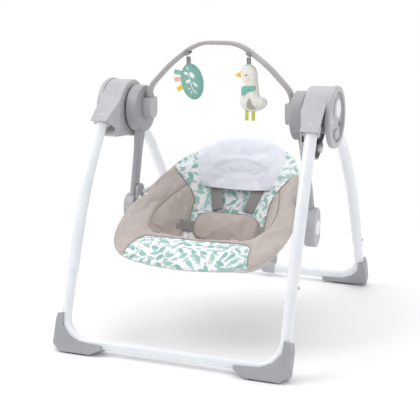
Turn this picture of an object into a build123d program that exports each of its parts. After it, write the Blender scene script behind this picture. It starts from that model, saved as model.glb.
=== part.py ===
from build123d import *
import math
import os

os.makedirs("parts", exist_ok=True)

# Folding baby swing. Millimetres, +Z up, origin on the floor under the middle of the frame.
# +Y points to the rear, +X to the control-panel side. "side" is +1 on the right and -1 on the left.

# ---- driving dimensions ----
pivot_y = -35.0          # swing and fold axis, parallel to X
pivot_z = 458.0
leg_tube_d = 24.0        # upper leg tubes
base_tube_d = 21.2       # lower U tubes, which plug into the upper ones
tube_wall = 1.2
leg_x = 233.0            # legs stand in this plane each side
base_z = 20.0            # centre of the base tubes
front_base_y = -315.0
rear_base_y = 313.2
corner_r = 55.0          # bend from leg to base tube
front_seam_z = 150.0     # where the lower front tube leaves the upper one
rear_seam_z = 112.0

front_socket = (227.0, -120.0, 450.0)
front_bend = (leg_x, -203.0, 312.0)
rear_bend_high = (232.0, 100.0, 386.0)
rear_bend_low = (leg_x, 208.0, 248.0)

# direction of the rear leg where it leaves the pod, degrees about the pivot
rear_angle = math.degrees(math.atan2(rear_bend_high[2] - pivot_z, rear_bend_high[1] - pivot_y))

pod_r = 61.0
pod_in_x = 198.0
pod_part_x = 228.0
pod_out_x = 246.0
ring_out_x = 256.5
ring_r = 63.0
shell_wall = 2.6
spindle_r = 6.0
bush_r = 9.0
boss_r = 15.0
drum_r = 34.0
drum_x = (219.4, 244.5)
fold_sweep = 62.0
fit = 0.06               # running clearance
gap = 0.3                # clearance between separate pieces

hub_x = (168.0, 194.0)
hub_r = 50.0
seat_hub = (206.0, -35.0, 226.0)

rim_angle = 25.0         # slope of the seat rim
rim_front = (0.0, -235.0, 185.0)
tube_depth = 11.0        # seat tubes below the rim's plane
pad_d = 3.0              # rubber pad thickness


# ---- small helpers ----
def save(shape, name):
    shape.label = name
    export_step(shape, "parts/" + name + ".step")


def side_name(side):
    return "right" if side > 0 else "left"


def mirrored(shape, side):
    return shape if side > 0 else shape.mirror(Plane.YZ)


def x_cylinder(radius, x0, x1, y, z):
    return Pos((x0 + x1) / 2, y, z) * Rot(0, 90, 0) * Cylinder(radius, abs(x1 - x0))


def pivot_cylinder(radius, x0, x1, dy=0.0, dz=0.0):
    return x_cylinder(radius, x0, x1, pivot_y + dy, pivot_z + dz)


def box_between(x0, x1, y0, y1, z0, z1):
    size = (x1 - x0, y1 - y0, z1 - z0)
    return Pos((x0 + x1) / 2, (y0 + y1) / 2, (z0 + z1) / 2) * Box(*size)


def corner_radii(points, share=0.45):
    """Largest even radii: share of the shorter run beside each corner."""
    radii = []
    vectors = [Vector(*p) for p in points]
    for before, here, after in zip(vectors, vectors[1:], vectors[2:]):
        run_in = here - before
        run_out = after - here
        half_turn = math.radians(run_in.get_angle(run_out)) / 2
        radii.append(share * min(run_in.length, run_out.length) / math.tan(half_turn))
    return radii


def smooth_path(points, radii=None):
    return FilletPolyline(*points, radius=radii or corner_radii(points))


def tube_along(path, outer_d, inner_d=0.0):
    plane = Plane(origin=path @ 0, z_dir=path % 0)
    ring = plane * Circle(outer_d / 2)
    if inner_d:
        ring -= plane * Circle(inner_d / 2)
    return sweep(ring, path=path)


def yz_prism(points, x0, x1):
    """A closed outline of (y, z) points drawn out from x0 to x1."""
    outline = make_face(Polyline(*[(x0, y, z) for y, z in points], close=True))
    return extrude(outline, amount=x1 - x0, dir=(1, 0, 0))


def lerp(a, b, t):
    return tuple(p + (q - p) * t for p, q in zip(a, b))


# ---- stand: tubes ----
def at_height(a, b, z):
    return lerp(a, b, (z - a[2]) / (b[2] - a[2]))


front_corner = (leg_x, front_base_y, base_z)
rear_corner = (leg_x, rear_base_y, base_z)
front_seam = at_height(front_bend, front_corner, front_seam_z)
rear_seam = at_height(rear_bend_low, rear_corner, rear_seam_z)


def front_leg_tube():
    path = smooth_path([front_socket, front_bend, front_seam])
    return tube_along(path, leg_tube_d, leg_tube_d - 2 * tube_wall)


def rear_leg_start():
    a = math.radians(rear_angle)
    return (232.0, pivot_y + 47.0 * math.cos(a), pivot_z + 47.0 * math.sin(a))


def rear_leg_tube():
    path = smooth_path([rear_leg_start(), rear_bend_high, rear_bend_low, rear_seam])
    return tube_along(path, leg_tube_d, leg_tube_d - 2 * tube_wall)


def base_tube(high, corner, overlap):
    """A U: up one leg, along the floor and up the other leg."""
    top = lerp(corner, high, 1 + overlap / math.dist(corner, high))
    left_top = (-top[0], top[1], top[2])
    left_corner = (-corner[0], corner[1], corner[2])
    path = FilletPolyline(top, corner, left_corner, left_top, radius=corner_r)
    return tube_along(path, base_tube_d, base_tube_d - 2 * tube_wall)


def snap_button(seam, corner):
    """A domed button through the outer side of a tube joint, above the seam."""
    y, z = lerp(seam, corner, -16.0 / math.dist(seam, corner))[1:]
    stem = x_cylinder(2.6, leg_x + 4.0, leg_x + 12.6, y, z)
    head = Pos(leg_x + 12.6, y, z) * Sphere(2.6)
    shoe = x_cylinder(4.2, leg_x + 4.0, leg_x + 6.0, y, z)
    return stem + head + shoe


def button_hole(seam, corner):
    y, z = lerp(seam, corner, -16.0 / math.dist(seam, corner))[1:]
    return x_cylinder(2.6 + 0.15, leg_x, leg_x + 20.0, y, z)


# ---- stand: feet ----
def foot_plane(corner, high):
    """Plane of the tube's bend: X across, Y up the leg."""
    up = Vector(0, high[1] - corner[1], high[2] - corner[2]).normalized()
    return Plane(origin=(0, corner[1], corner[2]), x_dir=(1, 0, 0), z_dir=Vector(1, 0, 0).cross(up))


def foot_cover(corner, high, tube):
    outline = Polyline((140, -3), (140, -11), (168, -26), (232, -26), (249, -10), (249.5, 34), (246, 52),
                       (233, 54), (232, 30), (215, 10), (190, 0), close=True)
    face = foot_plane(corner, high) * make_face(outline)
    body = extrude(face, amount=14.5, both=True)
    outer = body.edges().filter_by(lambda e: e.center().Z < 45 and e.center().X > 236)
    body = fillet(outer, 3.0)
    floor_cut = box_between(100, 300, -400, 400, -60, pad_d)
    return biggest(body - floor_cut - tube)


def foot_pad(corner, high):
    lean = (high[1] - corner[1]) / (high[2] - corner[2])
    y = corner[1] - lean * (corner[2] - pad_d)
    pad = RectangleRounded(56, 24, 8)
    return extrude(Pos(196, y, 0) * pad, amount=pad_d)


# ---- pods ----
leg_dir = (Vector(*front_socket) - Vector(*front_bend)).normalized()
mouth_t = 19.0
lip_half = 17.5          # half the lobe's width at the mouth
head_angles = (128.0, -112.0)   # where the lobe leaves the round head, degrees
collar_r = 17.4
boss_inner_r = 13.0
screw_spots = [(-46.0, 16.0), (-66.0, -8.0)]
motor_bulge = (-47.0, -50.0, 30.0)   # right pod's lower lobe round the motor: y, z, radius
mouth = Vector(*front_socket) - leg_dir * mouth_t      # centre of the leg socket's mouth


def pod_outline(inset):
    """Teardrop seen along X: a round head at the pivot and a lobe that holds the front leg."""
    r = pod_r - inset
    across = Vector(0, -leg_dir.Z, leg_dir.Y) * (lip_half - inset)
    front_lip = mouth + across
    back_lip = mouth - across
    top_a, low_a = (math.radians(a) for a in head_angles)
    return [(pivot_y, pivot_z),
            (pivot_y + r * math.cos(top_a), pivot_z + r * math.sin(top_a)),
            (front_lip.Y, front_lip.Z), (back_lip.Y, back_lip.Z),
            (pivot_y - 86.0 + inset, pivot_z - 46.0 + inset),
            (pivot_y - 80.0 + inset, pivot_z - 52.0 + inset),
            (pivot_y + r * math.cos(low_a), pivot_z + r * math.sin(low_a))]


def pod_block(inset, side, edge=0.0):
    x0 = pod_in_x + inset
    x1 = pod_out_x
    face = make_face(Polyline(*pod_outline(inset), close=True))
    face += Pos(pivot_y, pivot_z) * Circle(pod_r - inset)
    if side > 0:
        dy, dz, bulge_r = motor_bulge
        face += Pos(pivot_y + dy, pivot_z + dz) * Circle(bulge_r - inset)
    block = extrude(Plane(origin=(x0, 0, 0), x_dir=(0, 1, 0), z_dir=(1, 0, 0)) * face, amount=x1 - x0)
    if edge:
        block = chamfer(block.edges().filter_by(lambda e: abs(e.center().X - x0) < 0.01), edge)
    # the lobe narrows towards the leg, seen from above
    taper = Polyline((x0, 60, 300), (x0, -104, 300), (208.5 + inset, -134, 300), (208.5 + inset, -190, 300),
                     (x1, -190, 300), (x1, 60, 300), close=True)
    return block & extrude(make_face(taper), amount=300, dir=(0, 0, 1))


def wedge(a0, a1, radius, x0, x1):
    """A pie slice about the pivot between two angles in degrees."""
    steps = 12
    points = [(pivot_y, pivot_z)]
    for i in range(steps + 1):
        a = math.radians(a0 + (a1 - a0) * i / steps)
        points.append((pivot_y + radius * math.cos(a), pivot_z + radius * math.sin(a)))
    return yz_prism(points, x0, x1)


door_angles = (30.0, 74.0)
door_x = (202.5, 241.5)


def pod_shells(side):
    outer = pod_block(0.0, side, edge=2.0)
    shell = outer - pod_block(shell_wall, side)
    # boss for the inner bush, and its bore
    shell += pivot_cylinder(boss_inner_r, pod_in_x, 212.0)
    shell -= pivot_cylinder(bush_r, pod_in_x - 1, 213.0)
    # way out for the rear leg over its whole fold
    shell -= wedge(rear_angle - fold_sweep - 13.5, rear_angle + 13.0, 90.0, drum_x[0] - 1.2, pod_out_x + 1)
    # socket for the front leg
    axis = Plane(origin=front_socket, z_dir=-leg_dir)
    collar = axis * Cylinder(collar_r, mouth_t + 4, align=(Align.CENTER, Align.CENTER, Align.MIN))
    collar &= outer
    shell += collar
    bore = axis * Cylinder(leg_tube_d / 2 + 0.1, 90, align=(Align.CENTER, Align.CENTER, Align.MIN))
    shell -= bore
    # two screw holes through the inner face
    for dy, dz in screw_spots:
        shell -= pivot_cylinder(1.9, pod_in_x - 1, pod_in_x + 14, dy, dz)
    if side > 0:
        shell -= door_cut(0.3)
    inner = shell & box_between(150, pod_part_x, -300, 300, 300, 600)
    outer_half = shell & box_between(pod_part_x, 300, -300, 300, 300, 600)
    return biggest(inner), biggest(outer_half)


def biggest(shape):
    return max(shape.solids(), key=lambda s: s.volume)


def door_cut(grow):
    block = wedge(door_angles[0] - grow, door_angles[1] + grow, 80.0, door_x[0] - grow, door_x[1] + grow)
    return block - pivot_cylinder(40.0, 180, 260)


def battery_door():
    shell = pivot_cylinder(pod_r, 190, 250) - pivot_cylinder(pod_r - shell_wall, 180, 260)
    return shell & door_cut(0.0)


# controls on the right cover, (y, z) from the pivot
dial_spot = (4.0, 17.0)
dial_r = 18.5
inlet_spot = (32.0, -18.0)
start_spot = (-32.0, -6.0)


def ring_cover(side):
    disc = pivot_cylinder(ring_r, pod_out_x, ring_out_x)
    disc = fillet(disc.edges().filter_by(lambda e: e.center().X > pod_out_x + 1), 3.5)
    disc -= pivot_cylinder(51.0, ring_out_x - 5.5, ring_out_x + 1)
    disc -= pivot_cylinder(52.0, pod_out_x - 1, pod_out_x + 2.4)
    disc += pivot_cylinder(boss_r, drum_x[0] - 0.5, pod_out_x + 3)
    disc -= pivot_cylinder(bush_r, drum_x[0] - 1, 241.0)
    disc -= fold_button_block(0.25, pod_out_x - 1.0, 260.0)
    if side > 0:
        disc -= pivot_cylinder(4.1, 230, 260, *dial_spot)
        disc -= pivot_cylinder(5.25, 230, 260, *inlet_spot)
        disc -= pivot_cylinder(4.6, 230, 260, *start_spot)
    return disc


def fold_button_block(grow, x0, x1):
    slot = box_between(x0, x1, pivot_y - 16 - grow, pivot_y + 16 + grow, pivot_z - 44 - grow, pivot_z - 26 + grow)
    edges = slot.edges().filter_by(Axis.X)
    return fillet(edges, 7.0)


def fold_button():
    body = fold_button_block(0.0, pod_out_x + 1.2, ring_out_x - 1.0)
    face_edges = body.edges().filter_by(lambda e: e.center().X > ring_out_x - 1.1)
    body = fillet(face_edges, 1.5)
    return body


def fold_pin():
    """Stop pin behind the button; it runs in the drum's curved slot."""
    return pivot_cylinder(2.8, drum_x[1] - 5.0, pod_out_x + 1.2, 0.0, -29.0)


def rear_drum():
    """Hub of the rear leg: turns on the ring cover's boss and plugs into the leg tube."""
    body = pivot_cylinder(drum_r, drum_x[0], drum_x[1])
    a = math.radians(rear_angle)
    out = Vector(0, math.cos(a), math.sin(a))
    arm = Plane(origin=(232.0, pivot_y, pivot_z), z_dir=out)
    low = (Align.CENTER, Align.CENTER, Align.MIN)
    body += arm * Pos(0, 0, 20) * Cylinder(leg_tube_d / 2, 27.0, align=low)
    body += arm * Pos(0, 0, 40) * Cylinder(leg_tube_d / 2 - tube_wall - 0.1, 34.0, align=low)
    body -= pivot_cylinder(boss_r + fit, 200, 260)
    slot = wedge(-96.5, rear_angle + 6.5, 32.2, drum_x[1] - 8.0, drum_x[1] + 1)
    slot -= pivot_cylinder(25.8, 200, 260)
    return body - slot


def spindle():
    return pivot_cylinder(spindle_r, hub_x[0] + 6.5, 240.0)


def bush(x0, x1, flange):
    body = pivot_cylinder(bush_r, x0, x1)
    if flange:
        body += pivot_cylinder(12.0, x0 - 1.2, x0)
    return body - pivot_cylinder(spindle_r + fit, x0 - 5, x1 + 5)


def pod_screws(side):
    """Shell screws: head on the inner face, shank into the shell."""
    group = []
    for dy, dz in screw_spots:
        head = pivot_cylinder(1.8, pod_in_x + 0.6, pod_in_x + 8.0, dy, dz)
        head -= pivot_cylinder(0.9, pod_in_x, pod_in_x + 1.6, dy, dz)
        group.append(mirrored(head, side))
    return group


# ---- drive, right pod ----
motor_dy, motor_dz = -47.0, -54.0
gear_teeth = 48
pinion_teeth = 12
gear_module = 0.75
gear_x = (202.4, 207.0)
gear_distance = gear_module * (gear_teeth + pinion_teeth) / 2


def toothed_disc(teeth, x0, x1, phase):
    """Spur gear from straight-sided teeth; the tips and roots stay inside the pitch clearance."""
    pitch_r = gear_module * teeth / 2
    tip_r = pitch_r + 0.82 * gear_module
    root_r = pitch_r - 1.15 * gear_module
    step = 2 * math.pi / teeth
    points = []
    for i in range(teeth):
        middle = phase + i * step
        for r, share in ((root_r, -0.30), (tip_r, -0.13), (tip_r, 0.13), (root_r, 0.30)):
            a = middle + share * step
            points.append((r * math.cos(a), r * math.sin(a)))
    face = make_face(Polyline(*[(x0, y, z) for y, z in points], close=True))
    return extrude(face, amount=x1 - x0, dir=(1, 0, 0))


def motor_can():
    body = pivot_cylinder(12.0, 210.0, 236.0, motor_dy, motor_dz)
    body -= box_between(205, 240, -200, 200, pivot_z + motor_dz + 9.5, pivot_z + motor_dz + 20)
    body += pivot_cylinder(4.0, 208.4, 210.0, motor_dy, motor_dz)
    return body - pivot_cylinder(1.1, 205.0, 240.0, motor_dy, motor_dz)


def motor_pinion():
    phase = math.pi / pinion_teeth + math.pi / 2     # a gap faces the gear's lowest tooth
    disc = toothed_disc(pinion_teeth, gear_x[0] + gap, gear_x[1] - gap, phase)
    disc = Pos(0, pivot_y + motor_dy, pivot_z + motor_dz) * disc
    return disc + pivot_cylinder(1.0, gear_x[1] - 0.4, 234.0, motor_dy, motor_dz)


def drive_gear():
    disc = toothed_disc(gear_teeth, *gear_x, -math.pi / 2)
    disc = Pos(0, pivot_y + motor_dy, pivot_z + motor_dz + gear_distance) * disc
    disc += pivot_cylinder(4.5, gear_x[1], gear_x[1] + 3.0, motor_dy, motor_dz + gear_distance)
    disc += pivot_cylinder(1.5, gear_x[1], gear_x[1] + 4.0, motor_dy, motor_dz + gear_distance + 9.0)
    return disc - pivot_cylinder(2.0 + fit, 190, 230, motor_dy, motor_dz + gear_distance)


def gear_pin():
    return pivot_cylinder(2.0, pod_in_x + shell_wall, gear_x[1] + 4.0, motor_dy, motor_dz + gear_distance)


battery_spots = [(209.0, 44.5), (225.5, 44.5), (209.0, 28.5)]


def batteries():
    group = []
    for x, dz in battery_spots:
        cell = Pos(x, pivot_y, pivot_z + dz) * Rot(90, 0, 0) * Cylinder(7.2, 49.0)
        tip = Pos(x, pivot_y - 25.0, pivot_z + dz) * Rot(90, 0, 0) * Cylinder(2.7, 1.2)
        group.append(cell + tip)
    return group


def circuit_board():
    board = box_between(246.6, 248.1, pivot_y - 30, pivot_y + 34, pivot_z + 16, pivot_z + 44)
    board -= pivot_cylinder(5.0, 240, 260, *dial_spot)
    return board & pivot_cylinder(50.5, 240, 260)


def speed_dial():
    """Round control knob with a pointer groove, its shaft through the cover."""
    y, z = dial_spot
    x0 = ring_out_x - 5.5 + gap
    knob = pivot_cylinder(dial_r, x0, ring_out_x, y, z)
    knob = fillet(knob.edges().filter_by(lambda e: e.center().X > ring_out_x - 0.1), 1.2)
    knob -= box_between(ring_out_x - 0.8, ring_out_x + 1, pivot_y + y - 1.2, pivot_y + y + 1.2,
                        pivot_z + z + 5, pivot_z + z + 16)
    return knob + pivot_cylinder(4.0, 248.8, x0, y, z)


def power_inlet():
    """Barrel socket for an outside supply, set in the cover's recess."""
    body = pivot_cylinder(5.2, 246.5, ring_out_x - 5.0, *inlet_spot)
    body += pivot_cylinder(6.5, ring_out_x - 5.5, ring_out_x - 4.5, *inlet_spot)
    return body - pivot_cylinder(2.9, 247.5, ring_out_x, *inlet_spot)


def start_button():
    return pivot_cylinder(4.5, 249.2, 253.0, *start_spot)


# ---- swing arms ----
arm_top = (181.0, pivot_y, 440.0)
arm_low = (seat_hub[0], pivot_y, seat_hub[2] + 6)


def swing_arm():
    """Round hub on the spindle with a flat rounded arm down to the seat."""
    hub = pivot_cylinder(hub_r, *hub_x)
    hub = fillet(hub.edges().filter_by(GeomType.CIRCLE), 3.0)
    run = Vector(*arm_low) - Vector(*arm_top)
    plane = Plane(origin=arm_top, x_dir=(0, 1, 0), z_dir=run)
    section = plane * RectangleRounded(25.0, 13.5, 5.5)
    arm = extrude(section, amount=run.length, dir=run)
    flare = plane * RectangleRounded(44.0, 13.5, 5.5)
    throat = loft([flare, Pos(*(run.normalized() * 75)) * section])
    arm += throat & box_between(150, hub_x[1], -100, 100, 300, 600)
    body = hub + (arm - seat_hub_pill())
    body -= pivot_cylinder(spindle_r, hub_x[0] + 6.5, 260)
    body -= pivot_cylinder(clip_stub_r + fit, 150, hub_x[0] + 5.5)
    return body


def seat_hub_pill():
    pill = Rot(0, 90, 0) * SlotOverall(84.0, 50.0)
    body = extrude(Pos(seat_hub[0] - 12, seat_hub[1], seat_hub[2]) * pill, amount=24, dir=(1, 0, 0))
    return fillet(body.edges().filter_by(lambda e: abs(abs(e.center().X - seat_hub[0]) - 12) < 0.01), 3.5)


def seat_hub_body():
    """Pill-shaped housing at the arm's lower end."""
    y, z = seat_hub[1], seat_hub[2]
    body = seat_hub_pill()
    body -= x_cylinder(16.3, seat_hub[0] + 6.0, seat_hub[0] + 20, y, z)
    body -= x_cylinder(8.0 + fit, seat_hub[0] - 20, seat_hub[0] + 2.0, y, z)
    return body


def recline_button():
    y, z = seat_hub[1], seat_hub[2]
    disc = x_cylinder(16.0, seat_hub[0] + 8.5, seat_hub[0] + 13.2, y, z)
    return fillet(disc.edges().filter_by(lambda e: e.center().X > seat_hub[0] + 13), 1.2)


def seat_bracket():
    """Plate between the seat hub and the seat tubes, with the recline pin."""
    y, z = seat_hub[1], seat_hub[2]
    x1 = seat_hub[0] - 15.0
    plate = Rot(0, 90, 0) * SlotOverall(86.0, 34.0)
    body = extrude(Pos(x1 - 6.0, y, z + 22) * plate, amount=6.0, dir=(1, 0, 0))
    body += x_cylinder(8.0, x1 - 1, seat_hub[0] + 1.5, y, z)
    return body


# ---- seat ----
rim_plane = Plane(origin=rim_front, x_dir=(1, 0, 0),
                  z_dir=(0, -math.sin(math.radians(rim_angle)), math.cos(math.radians(rim_angle))))


def seat_section(front, back, half_width):
    """Egg-shaped section between a front and a back point (y, z), wide end to the front."""
    shape = [(0.0, 0.0), (0.62, 0.035), (0.92, 0.14), (1.0, 0.30), (0.94, 0.52),
             (0.80, 0.74), (0.50, 0.93), (0.0, 1.0)]
    length = math.dist(front, back)
    right = [(half_width * u, length * v) for u, v in shape]
    left = [(-x, s) for x, s in reversed(right[1:-1])]
    along = Vector(0, back[0] - front[0], back[1] - front[1])
    plane = Plane(origin=(0, *front), x_dir=(1, 0, 0), z_dir=Vector(1, 0, 0).cross(along))
    return plane * make_face(Spline(*(right + left), periodic=True))


def seat_tube_path(front):
    """U-shaped path under the rim plane, from one bracket round to the other."""
    plane = rim_plane.offset(-tube_depth)
    if front:
        half = [(187.0, 207), (170, 190), (171, 60), (120, 0)]
    else:
        half = [(187.0, 224), (170, 241), (146, 324), (70, 412)]
    points = half + [(-x, s) for x, s in reversed(half)]
    world = [tuple(plane.from_local_coords((x, s, 0))) for x, s in points]
    return smooth_path(world)


def seat_tube(front):
    return tube_along(seat_tube_path(front), 10.0, 7.6)


def seat_cover(keep_clear):
    """Padded fabric bucket; the tubes run in its hem."""
    outer = loft([seat_section((-256, 179), (170, 362), 186), seat_section((-244, 171), (152, 312), 177),
                  seat_section((-205, 160), (112, 232), 150), seat_section((-135, 139), (38, 132), 100)])
    inner = loft([seat_section((-236, 188), (157, 357), 164), seat_section((-167, 206), (122, 306), 135),
                  seat_section((-150, 174), (72, 242), 118), seat_section((-112, 149), (12, 147), 84)])
    cover = outer - inner
    for piece in keep_clear:
        cover -= piece
    return biggest(cover)


def sloped_pad(centre, slope, width, length, thick, corner, soften):
    """Rounded cushion lying on a plane tilted back by slope degrees."""
    a = math.radians(slope)
    plane = Plane(origin=centre, x_dir=(1, 0, 0), z_dir=(0, -math.sin(a), math.cos(a)))
    pad = extrude(plane * RectangleRounded(width, length, corner), amount=thick / 2, both=True)
    flat = pad.faces().sort_by(SortBy.AREA)[-2:]
    return fillet(flat[0].edges() + flat[1].edges(), soften)


def head_pillow(grow=0.0):
    return sloped_pad((0, 113, 319.5), 51, 244 + grow, 134 + grow, 32 + grow, 60, 14)


pad_slope = 56.0
pad_centre = (0.0, 8.0, 193.0)
pad_normal = (0.0, -math.sin(math.radians(pad_slope)), math.cos(math.radians(pad_slope)))
buckle_centre = tuple(c - 9.0 * n for c, n in zip(pad_centre, pad_normal))


def pad_block(grow=0.0):
    return sloped_pad(pad_centre, pad_slope, 150 + grow, 70 + grow, 28 + grow, 32, 11)


def crotch_pad():
    """Cover cushion of the crotch strap, with the buckle in a pocket at its back."""
    return pad_block() - buckle_block(1.2) - buckle_button_block(0.6)


def strap(start, end, width, thick, across=(1, 0, 0)):
    """Flat webbing between two points, its width along across."""
    run = Vector(*end) - Vector(*start)
    side = Vector(*across)
    plane = Plane(origin=start, x_dir=side - run * (side.dot(run) / run.dot(run)), z_dir=run)
    return extrude(plane * RectangleRounded(width, thick, thick * 0.4), amount=run.length, dir=run)


def buckle_block(grow):
    return sloped_pad(buckle_centre, pad_slope, 62 + grow, 40 + grow, 14 + grow, 9, 3)


def buckle():
    return buckle_block(0.0) - buckle_button_block(0.2)


def buckle_button_block(grow):
    plane = Plane(origin=buckle_centre, x_dir=(1, 0, 0), z_dir=pad_normal)
    disc = plane * Pos(0, 0, 3.0 - 12 * grow) * Circle(8.0 + grow)
    return extrude(disc, amount=5.5 + 13 * grow)


def harness_straps(grow=0.0):
    """Two shoulder straps from under the pillow and two waist straps, all ending at the pad."""
    width, thick = 24.0 + grow, 2.0 + grow
    straps = []
    for side in (-1, 1):
        straps.append(strap((side * 49, 79, 258), (side * 36, 48, 222), width, thick))
        straps.append(strap((side * 113, -36, 203), (side * 79, 2, 191), width, thick, across=(0, 0.5, 0.85)))
    return straps


def crotch_strap():
    return strap((0, -56, 162), (0, -24, 163), 38, 2.0)


# ---- toy bar and toys ----
leaf_x = -68.0
bird_x = 66.0
clip_stub_r = 7.0
clip_x = (150.0, 168.0)
bar_x = 160.0
bar_size = (20.0, 8.0)


def toy_bar_clip():
    """U-shaped pocket turning on a stub in the arm hub; the bar slides in from above."""
    z0, z1 = 438.0, 482.0
    block = box_between(clip_x[0], clip_x[1] - gap, pivot_y - 18, pivot_y + 18, z0, z1)
    low = block.edges().filter_by(Axis.X).group_by(Axis.Z)[0]
    block = fillet(low, 15.0)
    block -= box_between(bar_x - 4.4, bar_x + 4.4, pivot_y - 10.4, pivot_y + 10.4, z0 + 9, z1 + 1)
    return block + pivot_cylinder(clip_stub_r, clip_x[1] - 1.0, clip_x[1] + 5.0)


def toy_bar_path():
    half = [(bar_x, 448.0), (bar_x, 502.0), (108.0, 556.0), (45.0, 601.0)]
    points = [(x, pivot_y, z) for x, z in half + [(-x, z) for x, z in reversed(half)]]
    return smooth_path(points, corner_radii(points, 0.36))


def bar_spot(x):
    """Point and direction of the bar's centreline where it passes x."""
    path = toy_bar_path()
    low, high = 0.0, 1.0
    for _ in range(40):
        middle = (low + high) / 2
        if (path @ middle).X > x:
            low = middle
        else:
            high = middle
    return path @ low, path % low


def toy_bar():
    path = toy_bar_path()
    plane = Plane(origin=path @ 0, x_dir=(0, 1, 0), z_dir=path % 0)
    return sweep(plane * RectangleRounded(*bar_size, 2.8), path=path)


def bar_loop(x):
    """Fabric band sewn round the bar where a toy hangs."""
    outer = RectangleRounded(bar_size[0] + 4.4, bar_size[1] + 4.4, 3.6)
    inner = RectangleRounded(bar_size[0] + 0.8, bar_size[1] + 0.8, 3.0)
    point, along = bar_spot(x)
    plane = Plane(origin=point, x_dir=(0, 1, 0), z_dir=along)
    return extrude(plane * (outer - inner), amount=5.0, both=True)


def hanger(x, z0, z1):
    return box_between(x - 5, x + 5, pivot_y - 1.2, pivot_y + 1.2, z0, z1)


def leaf_toy():
    plane = Plane(origin=(-60, pivot_y, 519), x_dir=(0.98, 0, 0.199), z_dir=(0, -1, 0))
    pad = extrude(plane * Ellipse(24.0, 37.0), amount=7.0, both=True)
    rim = pad.edges().filter_by(lambda e: abs(abs(e.center().Y - pivot_y) - 7.0) < 0.1)
    return fillet(rim, 4.0)


def leaf_tags():
    group = []
    for i, z in enumerate((538.0, 524.0, 510.0)):
        x = -88.0 + 1.8 * i
        group.append(box_between(x - 9, x, pivot_y - 1.5, pivot_y + 1.5, z - 5, z + 5))
    return group


def bird_toy():
    outline = Spline((36, 536), (46, 546), (62, 558), (79, 552), (84, 536), (88, 520), (100, 500),
                     (106, 476), (92, 466), (66, 462), (52, 476), (50, 498), (58, 516), (52, 530), periodic=True)
    plane = Plane(origin=(0, pivot_y, 0), x_dir=(1, 0, 0), z_dir=(0, -1, 0))
    return extrude(plane * make_face(outline), amount=11.0, both=True)


def bird_legs():
    group = []
    for x in (62.0, 76.0):
        group.append(box_between(x - 4, x + 4, pivot_y - 2, pivot_y + 2, 441.5, 460.0))
    return group


# ---- rear tube storage clip ----
def storage_clip():
    """Snap-on clip: C-shaped grip round the rear base tube with a rounded holed tab."""
    grip = x_cylinder(base_tube_d / 2 + 3.2, -15, 15, rear_base_y, base_z)
    tab = Plane(origin=(0, rear_base_y + 8, base_z), x_dir=(-1, 0, 0), z_dir=(0, 1, -0.25))
    outline = tab * Pos(0, 22) * Rot(0, 0, 90) * SlotOverall(44, 30)
    body = grip + extrude(outline, amount=4.0, dir=(0, 1, 0))
    body -= extrude(tab * Pos(0, 30) * Circle(3.0), amount=10, both=True)
    body -= x_cylinder(base_tube_d / 2 + fit, -20, 20, rear_base_y, base_z)
    return body - box_between(-20, 20, rear_base_y - 7, rear_base_y + 7, -20, base_z - 4)


# ---- assembly ----
def export_pair(name, shape):
    for side in (1, -1):
        save(mirrored(shape, side), name + "_" + side_name(side))


def save_group(pieces, name):
    save(Compound(children=list(pieces)), name)


def both_sides(shape):
    return [mirrored(shape, side) for side in (1, -1)]


def stand():
    ends = [("front", front_corner, front_seam, 35.0, front_leg_tube),
            ("rear", rear_corner, rear_seam, 32.0, rear_leg_tube)]
    for end, corner, seam, overlap, leg in ends:
        hole = button_hole(seam, corner)
        base = base_tube(seam, corner, overlap)
        save(base - hole - hole.mirror(Plane.YZ), end + "_base_tube")
        export_pair(end + "_leg_tube", leg() - hole)
        export_pair(end + "_snap_button", snap_button(seam, corner))
        save_group(both_sides(foot_cover(corner, seam, base)), end + "_foot_covers")
        save_group(both_sides(foot_pad(corner, seam)), end + "_foot_pads")
    save(storage_clip(), "storage_clip")


def pods():
    screws = []
    for side in (1, -1):
        tag = "_" + side_name(side)
        inner, outer = pod_shells(side)
        save(mirrored(inner, side), "pod_inner_shell" + tag)
        save(mirrored(outer, side), "pod_outer_shell" + tag)
        save(mirrored(ring_cover(side), side), "pod_ring_cover" + tag)
        screws += pod_screws(side)
    save_group(screws, "pod_screws")
    export_pair("fold_button", fold_button() + fold_pin())
    save_group(both_sides(rear_drum()), "rear_leg_drums")
    save_group(both_sides(spindle()), "spindles")
    save_group(both_sides(bush(pod_in_x, 212.0, True)) + both_sides(bush(222.0, 240.8, False)), "spindle_bushes")


def drive():
    save(motor_can(), "drive_motor")
    save(motor_pinion(), "motor_pinion")
    save(drive_gear(), "drive_gear")
    save(gear_pin(), "gear_pin")
    save_group(batteries(), "battery_cells")
    save(battery_door(), "battery_door")
    save(circuit_board(), "circuit_board")
    save(speed_dial(), "speed_dial")
    save(start_button(), "start_button")
    save(power_inlet(), "power_inlet")


def swing():
    export_pair("swing_arm", swing_arm())
    save_group(both_sides(seat_hub_body()), "seat_hubs")
    export_pair("recline_button", recline_button())


def toys():
    save_group(both_sides(toy_bar_clip()), "toy_bar_clips")
    save(toy_bar(), "toy_bar")
    save_group([bar_loop(leaf_x), bar_loop(bird_x)], "toy_loops")
    save(leaf_toy(), "leaf_toy")
    save_group([hanger(leaf_x, 558.5, 574.0)] + leaf_tags(), "leaf_ribbons")
    save(bird_toy(), "bird_toy")
    save_group(bird_legs(), "bird_legs")
    save(hanger(bird_x, 559.5, 575.0), "bird_ribbon")


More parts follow.
